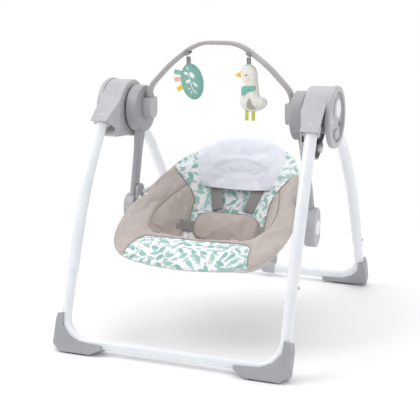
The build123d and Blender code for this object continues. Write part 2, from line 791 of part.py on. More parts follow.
def seat():
    bracket = seat_bracket()
    plates = both_sides(bracket)
    save_group(plates, "seat_brackets")
    save(seat_tube(False) - plates[0] - plates[1], "seat_back_tube")
    save(seat_tube(True) - plates[0] - plates[1], "seat_front_tube")
    room = [tube_along(seat_tube_path(front), 10.6) for front in (True, False)]
    room.append(head_pillow(1.0))
    room += harness_straps(grow=1.0)
    room.append(pad_block(grow=1.0))
    save(seat_cover(room), "seat_cover")
    save(biggest(head_pillow() - room[1]), "head_pillow")
    save(crotch_pad(), "crotch_pad")
    save(crotch_strap(), "crotch_strap")
    save_group(harness_straps(), "harness_straps")
    save(buckle(), "buckle")
    save(buckle_button_block(0.0), "buckle_button")


def main():
    stand()
    pods()
    drive()
    swing()
    toys()
    seat()


main()
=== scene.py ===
import math
import bpy
import bmesh
import numpy as np
from mathutils import Matrix, Vector
from mathutils.bvhtree import BVHTree


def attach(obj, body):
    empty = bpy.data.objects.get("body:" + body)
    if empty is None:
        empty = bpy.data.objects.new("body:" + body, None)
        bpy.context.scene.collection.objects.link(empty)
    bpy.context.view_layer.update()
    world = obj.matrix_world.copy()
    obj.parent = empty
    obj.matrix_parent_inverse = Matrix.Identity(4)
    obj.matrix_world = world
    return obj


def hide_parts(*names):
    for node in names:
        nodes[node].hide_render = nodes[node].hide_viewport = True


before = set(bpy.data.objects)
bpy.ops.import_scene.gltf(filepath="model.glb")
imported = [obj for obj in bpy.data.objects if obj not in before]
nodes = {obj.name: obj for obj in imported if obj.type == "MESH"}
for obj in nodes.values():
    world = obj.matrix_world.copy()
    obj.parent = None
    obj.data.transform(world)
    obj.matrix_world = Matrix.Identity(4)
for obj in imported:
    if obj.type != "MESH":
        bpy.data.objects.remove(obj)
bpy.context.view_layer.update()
scene = bpy.context.scene
mm = 0.001
print("frame loaded:", len(nodes), "nodes")


# ---- camera, light and floor ----
cameraPlan = {
    "place": (0.7526, -1.9855, 0.7433),
    "target": (-0.0085, -0.0683, 0.2524),
    "lens": 85.74,        # mm on a 36 mm sensor
    "roll": 0.38,         # degrees
}


def makeCamera(plan):
    data = bpy.data.cameras.new("camera")
    data.lens = plan["lens"]
    data.sensor_width = 36.0
    data.clip_start = 0.05
    camera = bpy.data.objects.new("camera", data)
    scene.collection.objects.link(camera)
    look = Vector(plan["target"]) - Vector(plan["place"])
    turn = look.to_track_quat("-Z", "Y").to_matrix().to_4x4()
    roll = Matrix.Rotation(math.radians(-plan["roll"]), 4, "Z")
    camera.matrix_world = Matrix.Translation(plan["place"]) @ turn @ roll
    scene.camera = camera


makeCamera(cameraPlan)

lightPlan = {
    # name: place, size, watts, all aimed at the seat
    "keyFromLeft": ((-1.9, -1.1, 2.3), 1.6, 30.0),
    "fillFromRight": ((2.2, -1.3, 1.5), 2.0, 5.0),
    "topSoft": ((0.1, 0.3, 2.9), 2.2, 24.0),
}
world = {"colour": "#fbfcfe", "strength": 0.62}


def toLinear(hexColour):
    # sRGB hex to the linear colour that shaders use
    parts = [int(hexColour[i:i + 2], 16) / 255 for i in (1, 3, 5)]
    return tuple(c / 12.92 if c <= 0.04045 else ((c + 0.055) / 1.055) ** 2.4 for c in parts) + (1.0,)


def makeLights(plan):
    for name, (place, size, watts) in plan.items():
        data = bpy.data.lights.new(name, "AREA")
        data.size = size
        data.energy = watts
        light = bpy.data.objects.new(name, data)
        scene.collection.objects.link(light)
        aim = Vector((0.0, 0.0, 0.28)) - Vector(place)
        light.matrix_world = Matrix.Translation(place) @ aim.to_track_quat("-Z", "Y").to_matrix().to_4x4()
    sky = bpy.data.worlds.new("studio")
    scene.world = sky
    sky.use_nodes = True
    background = sky.node_tree.nodes["Background"]
    background.inputs["Color"].default_value = toLinear(world["colour"])
    background.inputs["Strength"].default_value = world["strength"]


makeLights(lightPlan)
scene.view_settings.view_transform = "Standard"


# ---- nodes and materials ----
def addNode(tree, kind, inputs=None, **settings):
    # one node: settings are its properties, inputs are plain values or other nodes' outputs
    node = tree.nodes.new("ShaderNode" + kind)
    for name, value in settings.items():
        setattr(node, name, value)
    for name, value in (inputs or {}).items():
        if isinstance(value, bpy.types.NodeSocket):
            tree.links.new(value, node.inputs[name])
        else:
            node.inputs[name].default_value = value
    return node


def newMaterial(name, **sockets):
    # a named Principled material; sockets are fixed values on the shader itself
    material = bpy.data.materials.new(name)
    material.use_nodes = True
    tree = material.node_tree
    shader = tree.nodes["Principled BSDF"]
    for socket, value in sockets.items():
        shader.inputs[socket.replace("_", " ")].default_value = value
    return material, tree, shader


def colourRamp(tree, factor, stops):
    ramp = addNode(tree, "ValToRGB", {"Fac": factor})
    for element, (position, hexColour) in zip(ramp.color_ramp.elements, stops):
        element.position = position
        element.color = toLinear(hexColour)
    return ramp.outputs["Color"]


def baseColour(tree, shader, factor, stops):
    tree.links.new(colourRamp(tree, factor, stops), shader.inputs["Base Color"])


# Injection-moulded ABS with a spark-eroded grain: soft wide highlights, faint mottling, slightly soft edges.
# The true grain is near 0.1 mm; it is drawn at 1.4 mm so that it shows.
def mouldedPlastic(name, light, dark, roughness=0.42, grain=1.4, depth=0.06, edge=0.7):
    material, tree, shader = newMaterial(name, Roughness=roughness, IOR=1.53)
    where = addNode(tree, "TexCoord").outputs["Object"]
    cloud = addNode(tree, "TexNoise",
                    {"Vector": where, "Scale": 1 / (38 * mm), "Detail": 3.0, "Roughness": 0.6})
    colour = colourRamp(tree, cloud.outputs["Fac"], [(0.30, dark), (0.72, light)])
    tree.links.new(colour, shader.inputs["Base Color"])
    speck = addNode(tree, "TexNoise", {"Vector": where, "Scale": 1 / (grain * mm), "Detail": 2.0})
    gloss = addNode(tree, "MapRange", {"Value": cloud.outputs["Fac"], "To Min": roughness - 0.05,
                                       "To Max": roughness + 0.06})
    tree.links.new(gloss.outputs["Result"], shader.inputs["Roughness"])
    soft = addNode(tree, "Bevel", {"Radius": edge * mm}, samples=4)
    bump = addNode(tree, "Bump", {"Height": speck.outputs["Fac"], "Strength": depth, "Distance": 0.4 * mm,
                                  "Normal": soft.outputs["Normal"]})
    tree.links.new(bump.outputs["Normal"], shader.inputs["Normal"])
    return material


# Powder-coated steel tube: cool gloss white with a faint orange peel about 3 mm across.
def powderCoat(name, light, dark):
    material, tree, shader = newMaterial(name, Roughness=0.26, IOR=1.5, Coat_Weight=0.35, Coat_Roughness=0.12)
    where = addNode(tree, "TexCoord").outputs["Object"]
    cloud = addNode(tree, "TexNoise", {"Vector": where, "Scale": 1 / (70 * mm), "Detail": 2.0})
    baseColour(tree, shader, cloud.outputs["Fac"], [(0.3, dark), (0.7, light)])
    peel = addNode(tree, "TexNoise", {"Vector": where, "Scale": 1 / (3.0 * mm), "Detail": 1.0})
    bump = addNode(tree, "Bump", {"Height": peel.outputs["Fac"], "Strength": 0.05, "Distance": 0.3 * mm})
    tree.links.new(bump.outputs["Normal"], shader.inputs["Normal"])
    return material


# Turned or stamped bare metal: fine lathe lines along X give a stretched highlight.
def brushedMetal(name, light, dark, roughness):
    material, tree, shader = newMaterial(name, Roughness=roughness, Metallic=1.0)
    where = addNode(tree, "TexCoord").outputs["Object"]
    stretched = addNode(tree, "Mapping",
                        {"Vector": where, "Scale": (1 / (0.8 * mm), 1 / (14 * mm), 1 / (14 * mm))})
    lines = addNode(tree, "TexNoise", {"Vector": stretched.outputs["Vector"], "Scale": 1.0, "Detail": 3.0})
    baseColour(tree, shader, lines.outputs["Fac"], [(0.35, dark), (0.65, light)])
    bump = addNode(tree, "Bump", {"Height": lines.outputs["Fac"], "Strength": 0.12, "Distance": 0.2 * mm})
    tree.links.new(bump.outputs["Normal"], shader.inputs["Normal"])
    return material


# The cloth's own coordinates are the UV map "cloth", in metres along the surface.
def clothCoordinates(tree):
    return addNode(tree, "UVMap", uv_map="cloth").outputs["UV"]


def weaveHeight(tree, where, spacing):
    # plain weave: warp and weft ridges crossing, one period per thread
    across = addNode(tree, "TexWave", {"Vector": where, "Scale": 0.31416 / spacing, "Distortion": 0.6,
                                       "Detail Scale": 2.0}, bands_direction="X")
    along = addNode(tree, "TexWave", {"Vector": where, "Scale": 0.31416 / spacing, "Distortion": 0.6,
                                      "Detail Scale": 2.0}, bands_direction="Y")
    both = addNode(tree, "Math", {0: across.outputs["Fac"], 1: along.outputs["Fac"]}, operation="ADD")
    return both.outputs[0]


def melangeColour(tree, where, light, dark):
    # slubby two-tone yarn: streaks 9 mm long and 1.5 mm wide, over a broad fade
    stretched = addNode(tree, "Mapping", {"Vector": where, "Scale": (1 / (9 * mm), 1 / (1.6 * mm), 1.0)})
    slub = addNode(tree, "TexNoise", {"Vector": stretched.outputs["Vector"], "Scale": 1.0, "Detail": 3.0,
                                      "Roughness": 0.65})
    broad = addNode(tree, "TexNoise", {"Vector": where, "Scale": 1 / (60 * mm), "Detail": 2.0})
    blend = addNode(tree, "Mix", {0: 0.35, 2: slub.outputs["Fac"], 3: broad.outputs["Fac"]},
                    data_type="FLOAT")
    return colourRamp(tree, blend.outputs[0], [(0.32, dark), (0.68, light)])


def clothBump(tree, shader, height, strength, distance):
    bump = addNode(tree, "Bump", {"Height": height, "Strength": strength, "Distance": distance})
    tree.links.new(bump.outputs["Normal"], shader.inputs["Normal"])


# Woven polyester melange: dry, matt and slubby. Threads are 0.5 mm, drawn at 1.8 mm so that they show.
def wovenMelange(name, light, dark, spacing=1.8 * mm, sheen=0.25):
    material, tree, shader = newMaterial(name, Roughness=0.88, Sheen_Weight=sheen, Sheen_Roughness=0.5)
    where = clothCoordinates(tree)
    tree.links.new(melangeColour(tree, where, light, dark), shader.inputs["Base Color"])
    clothBump(tree, shader, weaveHeight(tree, where, spacing), 0.35, 0.3 * mm)
    return material


# Short-pile plush: a bright halo at grazing angles and small tufts about 2.5 mm apart.
def shortPlush(name, light, dark):
    material, tree, shader = newMaterial(name, Roughness=0.95, Sheen_Weight=0.7, Sheen_Roughness=0.4)
    where = addNode(tree, "TexCoord").outputs["Object"]
    broad = addNode(tree, "TexNoise", {"Vector": where, "Scale": 1 / (28 * mm), "Detail": 3.0})
    baseColour(tree, shader, broad.outputs["Fac"], [(0.3, dark), (0.7, light)])
    tufts = addNode(tree, "TexNoise",
                    {"Vector": where, "Scale": 1 / (2.5 * mm), "Detail": 3.0, "Roughness": 0.7})
    clothBump(tree, shader, tufts.outputs["Fac"], 0.4, 0.6 * mm)
    return material


# Polyester webbing: tight diagonal ribs 2 mm apart, flat low sheen.
def ribbedWebbing(name, light, dark, rib=2.0 * mm):
    material, tree, shader = newMaterial(name, Roughness=0.7, Sheen_Weight=0.15)
    where = clothCoordinates(tree)
    turned = addNode(tree, "Mapping", {"Vector": where, "Rotation": (0.0, 0.0, math.radians(60))})
    ribs = addNode(tree, "TexWave",
                   {"Vector": turned.outputs["Vector"], "Scale": 0.31416 / rib, "Distortion": 0.4})
    broad = addNode(tree, "TexNoise", {"Vector": where, "Scale": 1 / (12 * mm), "Detail": 2.0})
    blend = addNode(tree, "Mix", {0: 0.6, 2: ribs.outputs["Fac"], 3: broad.outputs["Fac"]}, data_type="FLOAT")
    baseColour(tree, shader, blend.outputs[0], [(0.25, dark), (0.75, light)])
    clothBump(tree, shader, ribs.outputs["Fac"], 0.5, 0.3 * mm)
    return material


def scatteredLeaf(tree, where, cell, shift, halfLength, halfWidth, stem):
    # one leaf per Voronoi cell, turned at random: a point is inside where
    # |y| < halfWidth (1 - (x/halfLength)^2); lengths are in cells. Returns the leaf's
    # mask and a random number for its tone.
    moved = addNode(tree, "Mapping", {"Vector": where, "Location": shift, "Scale": (1 / cell, 1 / cell, 1.0)})
    cells = addNode(tree, "TexVoronoi", {"Vector": moved.outputs["Vector"], "Scale": 1.0, "Randomness": 0.72},
                    voronoi_dimensions="2D")
    offset = addNode(tree, "VectorMath", {0: moved.outputs["Vector"], 1: cells.outputs["Position"]},
                     operation="SUBTRACT")
    chance = addNode(tree, "SeparateColor", {"Color": cells.outputs["Color"]})
    angle = addNode(tree, "Math", {0: chance.outputs["Red"], 1: 2 * math.pi}, operation="MULTIPLY")
    turned = addNode(tree, "VectorRotate", {"Vector": offset.outputs["Vector"], "Angle": angle.outputs[0]},
                     rotation_type="Z_AXIS")
    part = addNode(tree, "SeparateXYZ", {"Vector": turned.outputs["Vector"]})
    run = addNode(tree, "Math", {0: part.outputs["X"], 1: halfLength}, operation="DIVIDE")
    square = addNode(tree, "Math", {0: run.outputs[0], 1: run.outputs[0]}, operation="MULTIPLY")
    left = addNode(tree, "Math", {0: 1.0, 1: square.outputs[0]}, operation="SUBTRACT")
    half = addNode(tree, "Math", {0: left.outputs[0], 1: halfWidth}, operation="MULTIPLY")
    away = addNode(tree, "Math", {0: part.outputs["Y"]}, operation="ABSOLUTE")
    inside = addNode(tree, "Math", {0: half.outputs[0], 1: away.outputs[0]}, operation="SUBTRACT")
    mask = addNode(tree, "MapRange", {"Value": inside.outputs[0], "From Min": 0.0, "From Max": 0.03})
    mask = mask.outputs["Result"]
    if stem:
        beyond = addNode(tree, "Math", {0: part.outputs["X"], 1: -halfLength * 0.45, 2: halfLength * 0.95},
                         operation="COMPARE")
        thin = addNode(tree, "Math", {0: away.outputs[0], 1: 0.022}, operation="LESS_THAN")
        stalk = addNode(tree, "Math", {0: beyond.outputs[0], 1: thin.outputs[0]}, operation="MULTIPLY")
        mask = addNode(tree, "Math", {0: mask, 1: stalk.outputs[0]}, operation="MAXIMUM").outputs[0]
    return mask, chance.outputs["Green"]


def leafPrint(tree, where):
    # white cotton with three printed layers: berries, small grey-blue leaves and large sea-green leaves
    ground = addNode(tree, "TexNoise", {"Vector": where, "Scale": 1 / (25 * mm), "Detail": 2.0})
    colour = colourRamp(tree, ground.outputs["Fac"], [(0.3, "#eff1f3"), (0.7, "#fbfbfc")])
    layers = [
        (11.5 * mm, (0.31, 0.17, 0), 0.225, 0.225, False, [(0.2, "#c4aba1"), (0.8, "#dcc6bc")], 0.5),
        (18.0 * mm, (0.13, 0.71, 0), 0.50, 0.20, True, [(0.2, "#aec8d3"), (0.8, "#c4dbe2")], 0.0),
        (21.0 * mm, (0.57, 0.29, 0), 0.50, 0.24, True, [(0.2, "#8bbdb1"), (0.8, "#a6cfc4")], 0.0),
    ]
    for cell, shift, halfLength, halfWidth, stem, tones, skip in layers:
        mask, chance = scatteredLeaf(tree, where, cell, shift, halfLength, halfWidth, stem)
        if skip:
            kept = addNode(tree, "Math", {0: chance, 1: skip}, operation="GREATER_THAN")
            mask = addNode(tree, "Math", {0: mask, 1: kept.outputs[0]}, operation="MULTIPLY").outputs[0]
        tone = colourRamp(tree, chance, tones)
        mixed = addNode(tree, "Mix", {"Factor": mask}, data_type="RGBA")
        tree.links.new(colour, mixed.inputs[6])
        tree.links.new(tone, mixed.inputs[7])
        colour = mixed.outputs[2]
    return colour


# Printed cotton poplin panels sewn into woven melange: the attribute "printed" is the distance in metres
# into a printed panel, so the change of cloth follows the seam exactly.
def seatCloth(name, light, dark):
    material, tree, shader = newMaterial(name, Roughness=0.86, Sheen_Weight=0.2, Sheen_Roughness=0.5)
    where = clothCoordinates(tree)
    panel = addNode(tree, "Attribute", attribute_name="printed")
    isPrinted = addNode(tree, "Math", {0: panel.outputs["Fac"], 1: 0.0}, operation="GREATER_THAN")
    mixed = addNode(tree, "Mix", {"Factor": isPrinted.outputs[0]}, data_type="RGBA")
    tree.links.new(melangeColour(tree, where, light, dark), mixed.inputs[6])
    tree.links.new(leafPrint(tree, where), mixed.inputs[7])
    tree.links.new(mixed.outputs[2], shader.inputs["Base Color"])
    clothBump(tree, shader, weaveHeight(tree, where, 1.8 * mm), 0.3, 0.3 * mm)
    return material


finish = {
    "tube": powderCoat("powderCoatedSteelWhite", "#f4f6f9", "#eaeef3"),
    "housing": mouldedPlastic("mouldedAbsLightGrey", "#bfbfc2", "#b4b4b8"),
    "arm": mouldedPlastic("mouldedAbsMidGrey", "#a9aaad", "#9fa0a4"),
    "hub": mouldedPlastic("mouldedAbsSoftGrey", "#bdbdc0", "#b2b2b6"),
    "foot": mouldedPlastic("mouldedPolypropyleneGrey", "#adaeb1", "#a2a3a7", roughness=0.5),
    "rubber": mouldedPlastic("mouldedRubberDark", "#4a4b4e", "#3d3e41", roughness=0.75, grain=0.9,
                             depth=0.15),
    "button": mouldedPlastic("mouldedAbsWhite", "#f1f1f3", "#e6e6e9", roughness=0.35),
    "nylon": mouldedPlastic("mouldedNylonNatural", "#e9e6da", "#ddd9cb", roughness=0.4),
    "gear": mouldedPlastic("mouldedAcetalIvory", "#f0ede2", "#e3dfd2", roughness=0.32),
    "buckle": mouldedPlastic("mouldedAcetalGrey", "#8f8f91", "#828285", roughness=0.38),
    "bar": mouldedPlastic("mouldedAbsTaupe", "#b7b3b1", "#aaa6a5", roughness=0.5),
    "board": mouldedPlastic("solderMaskGreen", "#2f7a4d", "#25653f", roughness=0.3),
    "battery": mouldedPlastic("printedFilmWrap", "#3d6f9e", "#335f89", roughness=0.25),
    "steel": brushedMetal("platedSteel", "#c9cacc", "#a9abae", 0.32),
    "melange": wovenMelange("wovenMelangeTaupe", "#cfc5bf", "#b7aba4"),
    "piping": wovenMelange("wovenPipingTaupe", "#aaa099", "#978c86", spacing=1.2 * mm),
    "plush": shortPlush("shortPilePlushWhite", "#eef0f8", "#e2e5f0"),
    "webbing": ribbedWebbing("polyesterWebbingGrey", "#9d9b99", "#85837f"),
    "ribbon": ribbedWebbing("grosgrainRibbonGrey", "#a19f9e", "#8e8c8b", rib=1.4 * mm),
    "seat": seatCloth("printedCottonOnMelange", "#cfc5bf", "#b7aba4"),
}
print("materials:", len(finish))

nodeFinish = {
    "tube": ["front_base_tube", "rear_base_tube", "front_leg_tube_left", "front_leg_tube_right",
             "rear_leg_tube_left", "rear_leg_tube_right", "seat_back_tube", "seat_front_tube"],
    "housing": ["pod_inner_shell_left", "pod_inner_shell_right", "pod_outer_shell_left",
                "pod_outer_shell_right",
                "pod_ring_cover_left", "pod_ring_cover_right", "battery_door", "toy_bar_clips"],
    "hub": ["seat_hubs", "fold_button_left", "fold_button_right", "storage_clip"],
    "arm": ["swing_arm_left", "swing_arm_right", "rear_leg_drums", "seat_brackets"],
    "foot": ["front_foot_covers", "rear_foot_covers"],
    "rubber": ["front_foot_pads", "rear_foot_pads"],
    "button": ["recline_button_left", "recline_button_right", "speed_dial", "start_button"],
    "steel": ["front_snap_button_left", "front_snap_button_right", "rear_snap_button_left",
              "rear_snap_button_right",
              "spindles", "gear_pin", "pod_screws", "drive_motor"],
    "nylon": ["spindle_bushes"],
    "gear": ["drive_gear", "motor_pinion"],
    "battery": ["battery_cells"],
    "board": ["circuit_board"],
    "buckle": ["buckle", "buckle_button", "power_inlet"],
    "bar": ["toy_bar"],
}
for kind, names in nodeFinish.items():
    for name in names:
        mesh = nodes[name].data
        mesh.materials.clear()
        mesh.materials.append(finish[kind])
print("frame finished")


# ---- surfaces ----
def splineThrough(knots, count, closed=False):
    # cubic curve through the knots: slopes come from the usual tri-diagonal system over chord lengths,
    # and the points are spread evenly over the whole chord length
    knots = np.asarray(knots, float)
    ring = np.vstack([knots, knots[:1]]) if closed else knots
    step = np.linalg.norm(np.diff(ring, axis=0), axis=1)
    place = np.concatenate([[0.0], np.cumsum(step)])
    last = len(ring) - 1
    system = np.zeros((last + 1, last + 1))
    known = np.zeros(ring.shape)
    for i in range(1, last):
        system[i, i - 1:i + 2] = 1 / step[i - 1], 2 / step[i - 1] + 2 / step[i], 1 / step[i]
        known[i] = 3 * ((ring[i] - ring[i - 1]) / step[i - 1] ** 2 + (ring[i + 1] - ring[i]) / step[i] ** 2)
    if closed:
        system[0, [0, 1, last - 1]] = 2 / step[-1] + 2 / step[0], 1 / step[0], 1 / step[-1]
        known[0] = 3 * ((ring[1] - ring[0]) / step[0] ** 2 + (ring[0] - ring[-2]) / step[-1] ** 2)
        system[last, [0, last]] = 1.0, -1.0
    else:
        system[0, :2] = 2 / step[0], 1 / step[0]
        known[0] = 3 * (ring[1] - ring[0]) / step[0] ** 2
        system[last, last - 1:] = 1 / step[-1], 2 / step[-1]
        known[last] = 3 * (ring[-1] - ring[-2]) / step[-1] ** 2
    slope = np.linalg.solve(system, known)
    t = np.linspace(0, place[-1], count, endpoint=not closed)
    i = np.clip(np.searchsorted(place, t, side="right") - 1, 0, last - 1)
    h = step[i][:, None]
    u = ((t - place[i]) / step[i])[:, None]
    return ((1 + 2 * u) * (1 - u) ** 2 * ring[i] + u * (1 - u) ** 2 * h * slope[i]
            + u ** 2 * (3 - 2 * u) * ring[i + 1] + u ** 2 * (u - 1) * h * slope[i + 1])


def unit(vectors):
    return vectors / np.maximum(np.linalg.norm(vectors, axis=-1, keepdims=True), 1e-12)


def runLength(points, axis):
    # distance along the grid's lines in one direction, from the first line
    step = np.linalg.norm(np.diff(points, axis=axis), axis=-1)
    zero = np.zeros_like(np.take(step, [0], axis=axis))
    return np.concatenate([zero, np.cumsum(step, axis=axis)], axis=axis)


def newPiece(name, mesh, material):
    piece = bpy.data.objects.new(name, mesh)
    scene.collection.objects.link(piece)
    mesh.materials.append(material)
    mesh.shade_smooth()
    return piece


def gridPiece(name, points, material, wrapRows=False, wrapColumns=False, cloth=None, values=None):
    # quads between neighbours of a (rows, columns, 3) grid; a wrapped direction joins its last line to its
    # first;
    # cloth gives the UV of every corner, one line longer in a wrapped direction; values are point attributes
    rows, columns = points.shape[:2]
    i, j = np.meshgrid(np.arange(rows - (not wrapRows)), np.arange(columns - (not wrapColumns)),
                       indexing="ij")
    i, j = i.ravel(), j.ravel()
    cornerI = np.stack([i, i + 1, i + 1, i], 1)
    cornerJ = np.stack([j, j, j + 1, j + 1], 1)
    index = (cornerI % rows) * columns + cornerJ % columns
    flat = points.reshape(-1, 3)
    a, b, c, d = (flat[index[:, k]] for k in range(4))
    if np.einsum("ij,ij->i", a, np.cross(b - a, c - a) + np.cross(c - a, d - a)).sum() < 0:
        index, cornerI, cornerJ = index[:, ::-1], cornerI[:, ::-1], cornerJ[:, ::-1]
    mesh = bpy.data.meshes.new(name)
    mesh.from_pydata(flat.tolist(), [], index.tolist())
    if cloth is None:
        cloth = np.stack([runLength(points, 0), runLength(points, 1)], -1)
        if wrapRows:
            cloth = np.concatenate([cloth, cloth[-1:] + cloth[1:2] - cloth[:1]], 0)
        if wrapColumns:
            cloth = np.concatenate([cloth, cloth[:, -1:] + cloth[:, 1:2] - cloth[:, :1]], 1)
    layer = mesh.uv_layers.new(name="cloth")
    layer.data.foreach_set("uv", cloth[cornerI, cornerJ].reshape(-1).astype(np.float32))
    for key, value in (values or {}).items():
        attribute = mesh.attributes.new(key, "FLOAT", "POINT")
        attribute.data.foreach_set("value", value.reshape(-1).astype(np.float32))
    work = bmesh.new()
    work.from_mesh(mesh)
    bmesh.ops.remove_doubles(work, verts=work.verts, dist=1e-6)
    work.to_mesh(mesh)
    work.free()
    return newPiece(name, mesh, material)


def readPoints(mesh):
    points = np.zeros(len(mesh.vertices) * 3, np.float32)
    mesh.vertices.foreach_get("co", points)
    return points.reshape(-1, 3).astype(float)


def writePoints(mesh, points):
    mesh.vertices.foreach_set("co", points.reshape(-1).astype(np.float32))
    mesh.update()


def readValue(mesh, key):
    value = np.zeros(len(mesh.vertices), np.float32)
    mesh.attributes[key].data.foreach_get("value", value)
    return value.astype(float)


def normalsOf(mesh):
    normals = np.zeros(len(mesh.vertices) * 3, np.float32)
    mesh.vertex_normals.foreach_get("vector", normals)
    return normals.reshape(-1, 3).astype(float)


def inflate(piece, cap, held=None, pressure=4.0, frames=20, slack=0.0):
    # cloth simulation blows the closed piece up from inside; held is each point's grip on its place, from
    # 0 to 1, so that seams stay put; no point moves further than cap, one number or one for each point;
    # slack is extra cloth as a share of its size
    mesh = piece.data
    rest = readPoints(mesh)
    cloth = piece.modifiers.new("cloth", "CLOTH")
    settings = cloth.settings
    settings.use_pressure = True
    settings.uniform_pressure_force = pressure
    settings.effector_weights.gravity = 0.0
    settings.quality = 5
    settings.mass = 0.25
    settings.tension_stiffness = settings.compression_stiffness = 12.0
    settings.bending_stiffness = 0.4
    settings.shrink_min = -slack
    cloth.collision_settings.use_collision = False
    if held is not None:
        grip = piece.vertex_groups.new(name="seams")
        for weight in (0.5, 1.0):
            chosen = np.nonzero(held >= weight)[0].tolist()
            grip.add(chosen, weight, "REPLACE")
        settings.vertex_group_mass = "seams"
    cloth.point_cache.frame_start = 1
    cloth.point_cache.frame_end = frames
    for number in range(1, frames + 1):
        scene.frame_set(number)
    shape = piece.evaluated_get(bpy.context.evaluated_depsgraph_get()).to_mesh()
    moved = readPoints(shape) - rest
    length = np.linalg.norm(moved, axis=1, keepdims=True)
    moved *= np.minimum(1.0, cap / np.maximum(length, 1e-9))
    piece.modifiers.remove(cloth)
    scene.frame_set(1)
    writePoints(mesh, rest + moved)


def subdivide(piece, levels=1):
    finer = piece.modifiers.new("subdivision", "SUBSURF")
    finer.levels = finer.render_levels = levels


def sweptPiece(name, path, section, material, closed=False, side=None):
    # a closed section, (across, up) pairs, carried along the path; "side" is the across direction at each
    # point, by default the horizontal that is square to the path
    path = np.asarray(path, float)
    ahead = np.gradient(path, axis=0) if not closed else np.roll(path, -1, 0) - np.roll(path, 1, 0)
    ahead = unit(ahead)
    across = unit(np.cross(ahead, (0.0, 0.0, 1.0))) if side is None else np.broadcast_to(side, path.shape)
    across = unit(across - ahead * np.sum(across * ahead, 1, keepdims=True))
    up = np.cross(across, ahead)
    section = np.asarray(section, float)
    points = path[:, None] + section[None, :, :1] * across[:, None] + section[None, :, 1:] * up[:, None]
    if not closed:      # the ends are closed by drawing the section in to its middle
        first, last = points[:1].mean(1, keepdims=True), points[-1:].mean(1, keepdims=True)
        count = len(section)
        points = np.concatenate([np.repeat(first, count, 1), points, np.repeat(last, count, 1)], 0)
    return gridPiece(name, points, material, wrapRows=closed, wrapColumns=True)


def ring(radius, count=8):
    angle = np.linspace(0, 2 * np.pi, count, endpoint=False)
    return np.stack([radius * np.cos(angle), radius * np.sin(angle)], 1)


def tapeSection(width, thick):
    # a flat band with round edges: half circles joined by straight runs, thicker by a hair at the selvedge
    angle = np.linspace(-np.pi / 2, np.pi / 2, 5)
    r = thick / 2
    right = np.stack([width / 2 - r + r * np.cos(angle), r * 1.15 * np.sin(angle)], 1)
    top = np.stack([np.linspace(width / 2 - r, -width / 2 + r, 6)[1:-1], np.full(4, r)], 1)
    return np.concatenate([right, top, -right, -top], 0)


# ---- seat ----
seatPlan = {
    "slope": 25.0,                      # the rim's plane, degrees
    "rimFront": (0.0, -235.0, 185.0),   # a point on it, mm
    # nested egg-shaped rows from under the bucket, over the rim and down inside:
    # front (y, z), back (y, z), half width, in mm; each row is a flat egg between its front and back point
    "rows": [(-45, 134, -45, 134, 0), (-95, 135, 5, 131, 58), (-135, 140, 40, 136, 100),
             (-205, 160, 112, 232, 150), (-244, 171, 152, 312, 177), (-256, 179, 170, 360, 186),
             (-248, 189, 163, 367, 176), (-208, 201, 150, 348, 156), (-167, 213, 122, 306, 135),
             (-160, 198, 100, 279, 128), (-150, 177, 72, 244, 117), (-128, 158, 44, 206, 99),
             (-92, 149, 10, 158, 64), (-42, 147, -42, 147, 0)],
    "egg": [(0.0, 0.0), (0.62, 0.035), (0.92, 0.14), (1.0, 0.30), (0.94, 0.52), (0.80, 0.74),
            (0.50, 0.93), (0.0, 1.0)],
    "around": 208, "along": 116,
    "seamRow": 8,                       # the row that carries the lining's piping
    "apronHalf": 134.0, "apronTaper": 0.2, "apronTop": 70.0, "apronCorner": 16.0,
    "backHalf": 88.0, "backFrom": 272.0, "backFull": 362.0, "backSpread": 130.0, "backSlope": 51.0,
    "cap": 7.0,                         # most that the padding swells, mm
    "pipe": 1.6,                        # piping radius, mm
}
rimSlope = math.radians(seatPlan["slope"])
rimFront = np.array(seatPlan["rimFront"]) * mm
rimAlong = np.array([0.0, math.cos(rimSlope), math.sin(rimSlope)])
rimUp = np.array([0.0, -math.sin(rimSlope), math.cos(rimSlope)])


def rimCoordinates(points):
    # x across, s up along the rim's slope
    return points[..., 0], (points - rimFront) @ rimAlong


def smoothStep(low, high, value):
    t = np.clip((value - low) / (high - low), 0, 1)
    return t * t * (3 - 2 * t)


def apronInside(x, s):
    # distance into a rounded rectangle that covers the front of the rim
    plan = seatPlan
    r = plan["apronCorner"] * mm
    dx = np.abs(x) - (plan["apronHalf"] * mm - plan["apronTaper"] * s - r)
    ds = s - (plan["apronTop"] * mm - r)
    outside = np.hypot(np.maximum(dx, 0), np.maximum(ds, 0)) + np.minimum(np.maximum(dx, ds), 0)
    return r - outside


def backInside(x, s):
    # distance into the back panel: a strip between the lining panels that widens to the whole rim at the top
    plan = seatPlan
    spread = smoothStep(plan["backFrom"] * mm, plan["backFull"] * mm, s)
    half = plan["backHalf"] * mm + plan["backSpread"] * mm * spread
    return half - np.abs(x)


def seatSurface(plan):
    # a row is (half width * X(a), front + (back - front) * V(a)) with X, V the egg; rows follow a cubic
    # through the table
    knots = plan["egg"] + [(-u, v) for u, v in plan["egg"][-2:0:-1]]
    egg = splineThrough(knots, plan["around"], closed=True)
    table = np.array(plan["rows"], float) * mm
    rows = splineThrough(table, plan["along"])
    rows[0], rows[-1] = table[0], table[-1]
    x = rows[:, None, 4] * egg[None, :, 0]
    front, back = rows[:, None, 0:2], rows[:, None, 2:4]
    yz = front + (back - front) * egg[None, :, 1:2]
    points = np.concatenate([x[..., None], yz], -1)
    chord = np.concatenate([[0.0], np.cumsum(np.linalg.norm(np.diff(table, axis=0), axis=1))])
    rowNumber = np.interp(np.linspace(0, chord[-1], plan["along"]), chord, np.arange(len(table)))
    return points, rowNumber


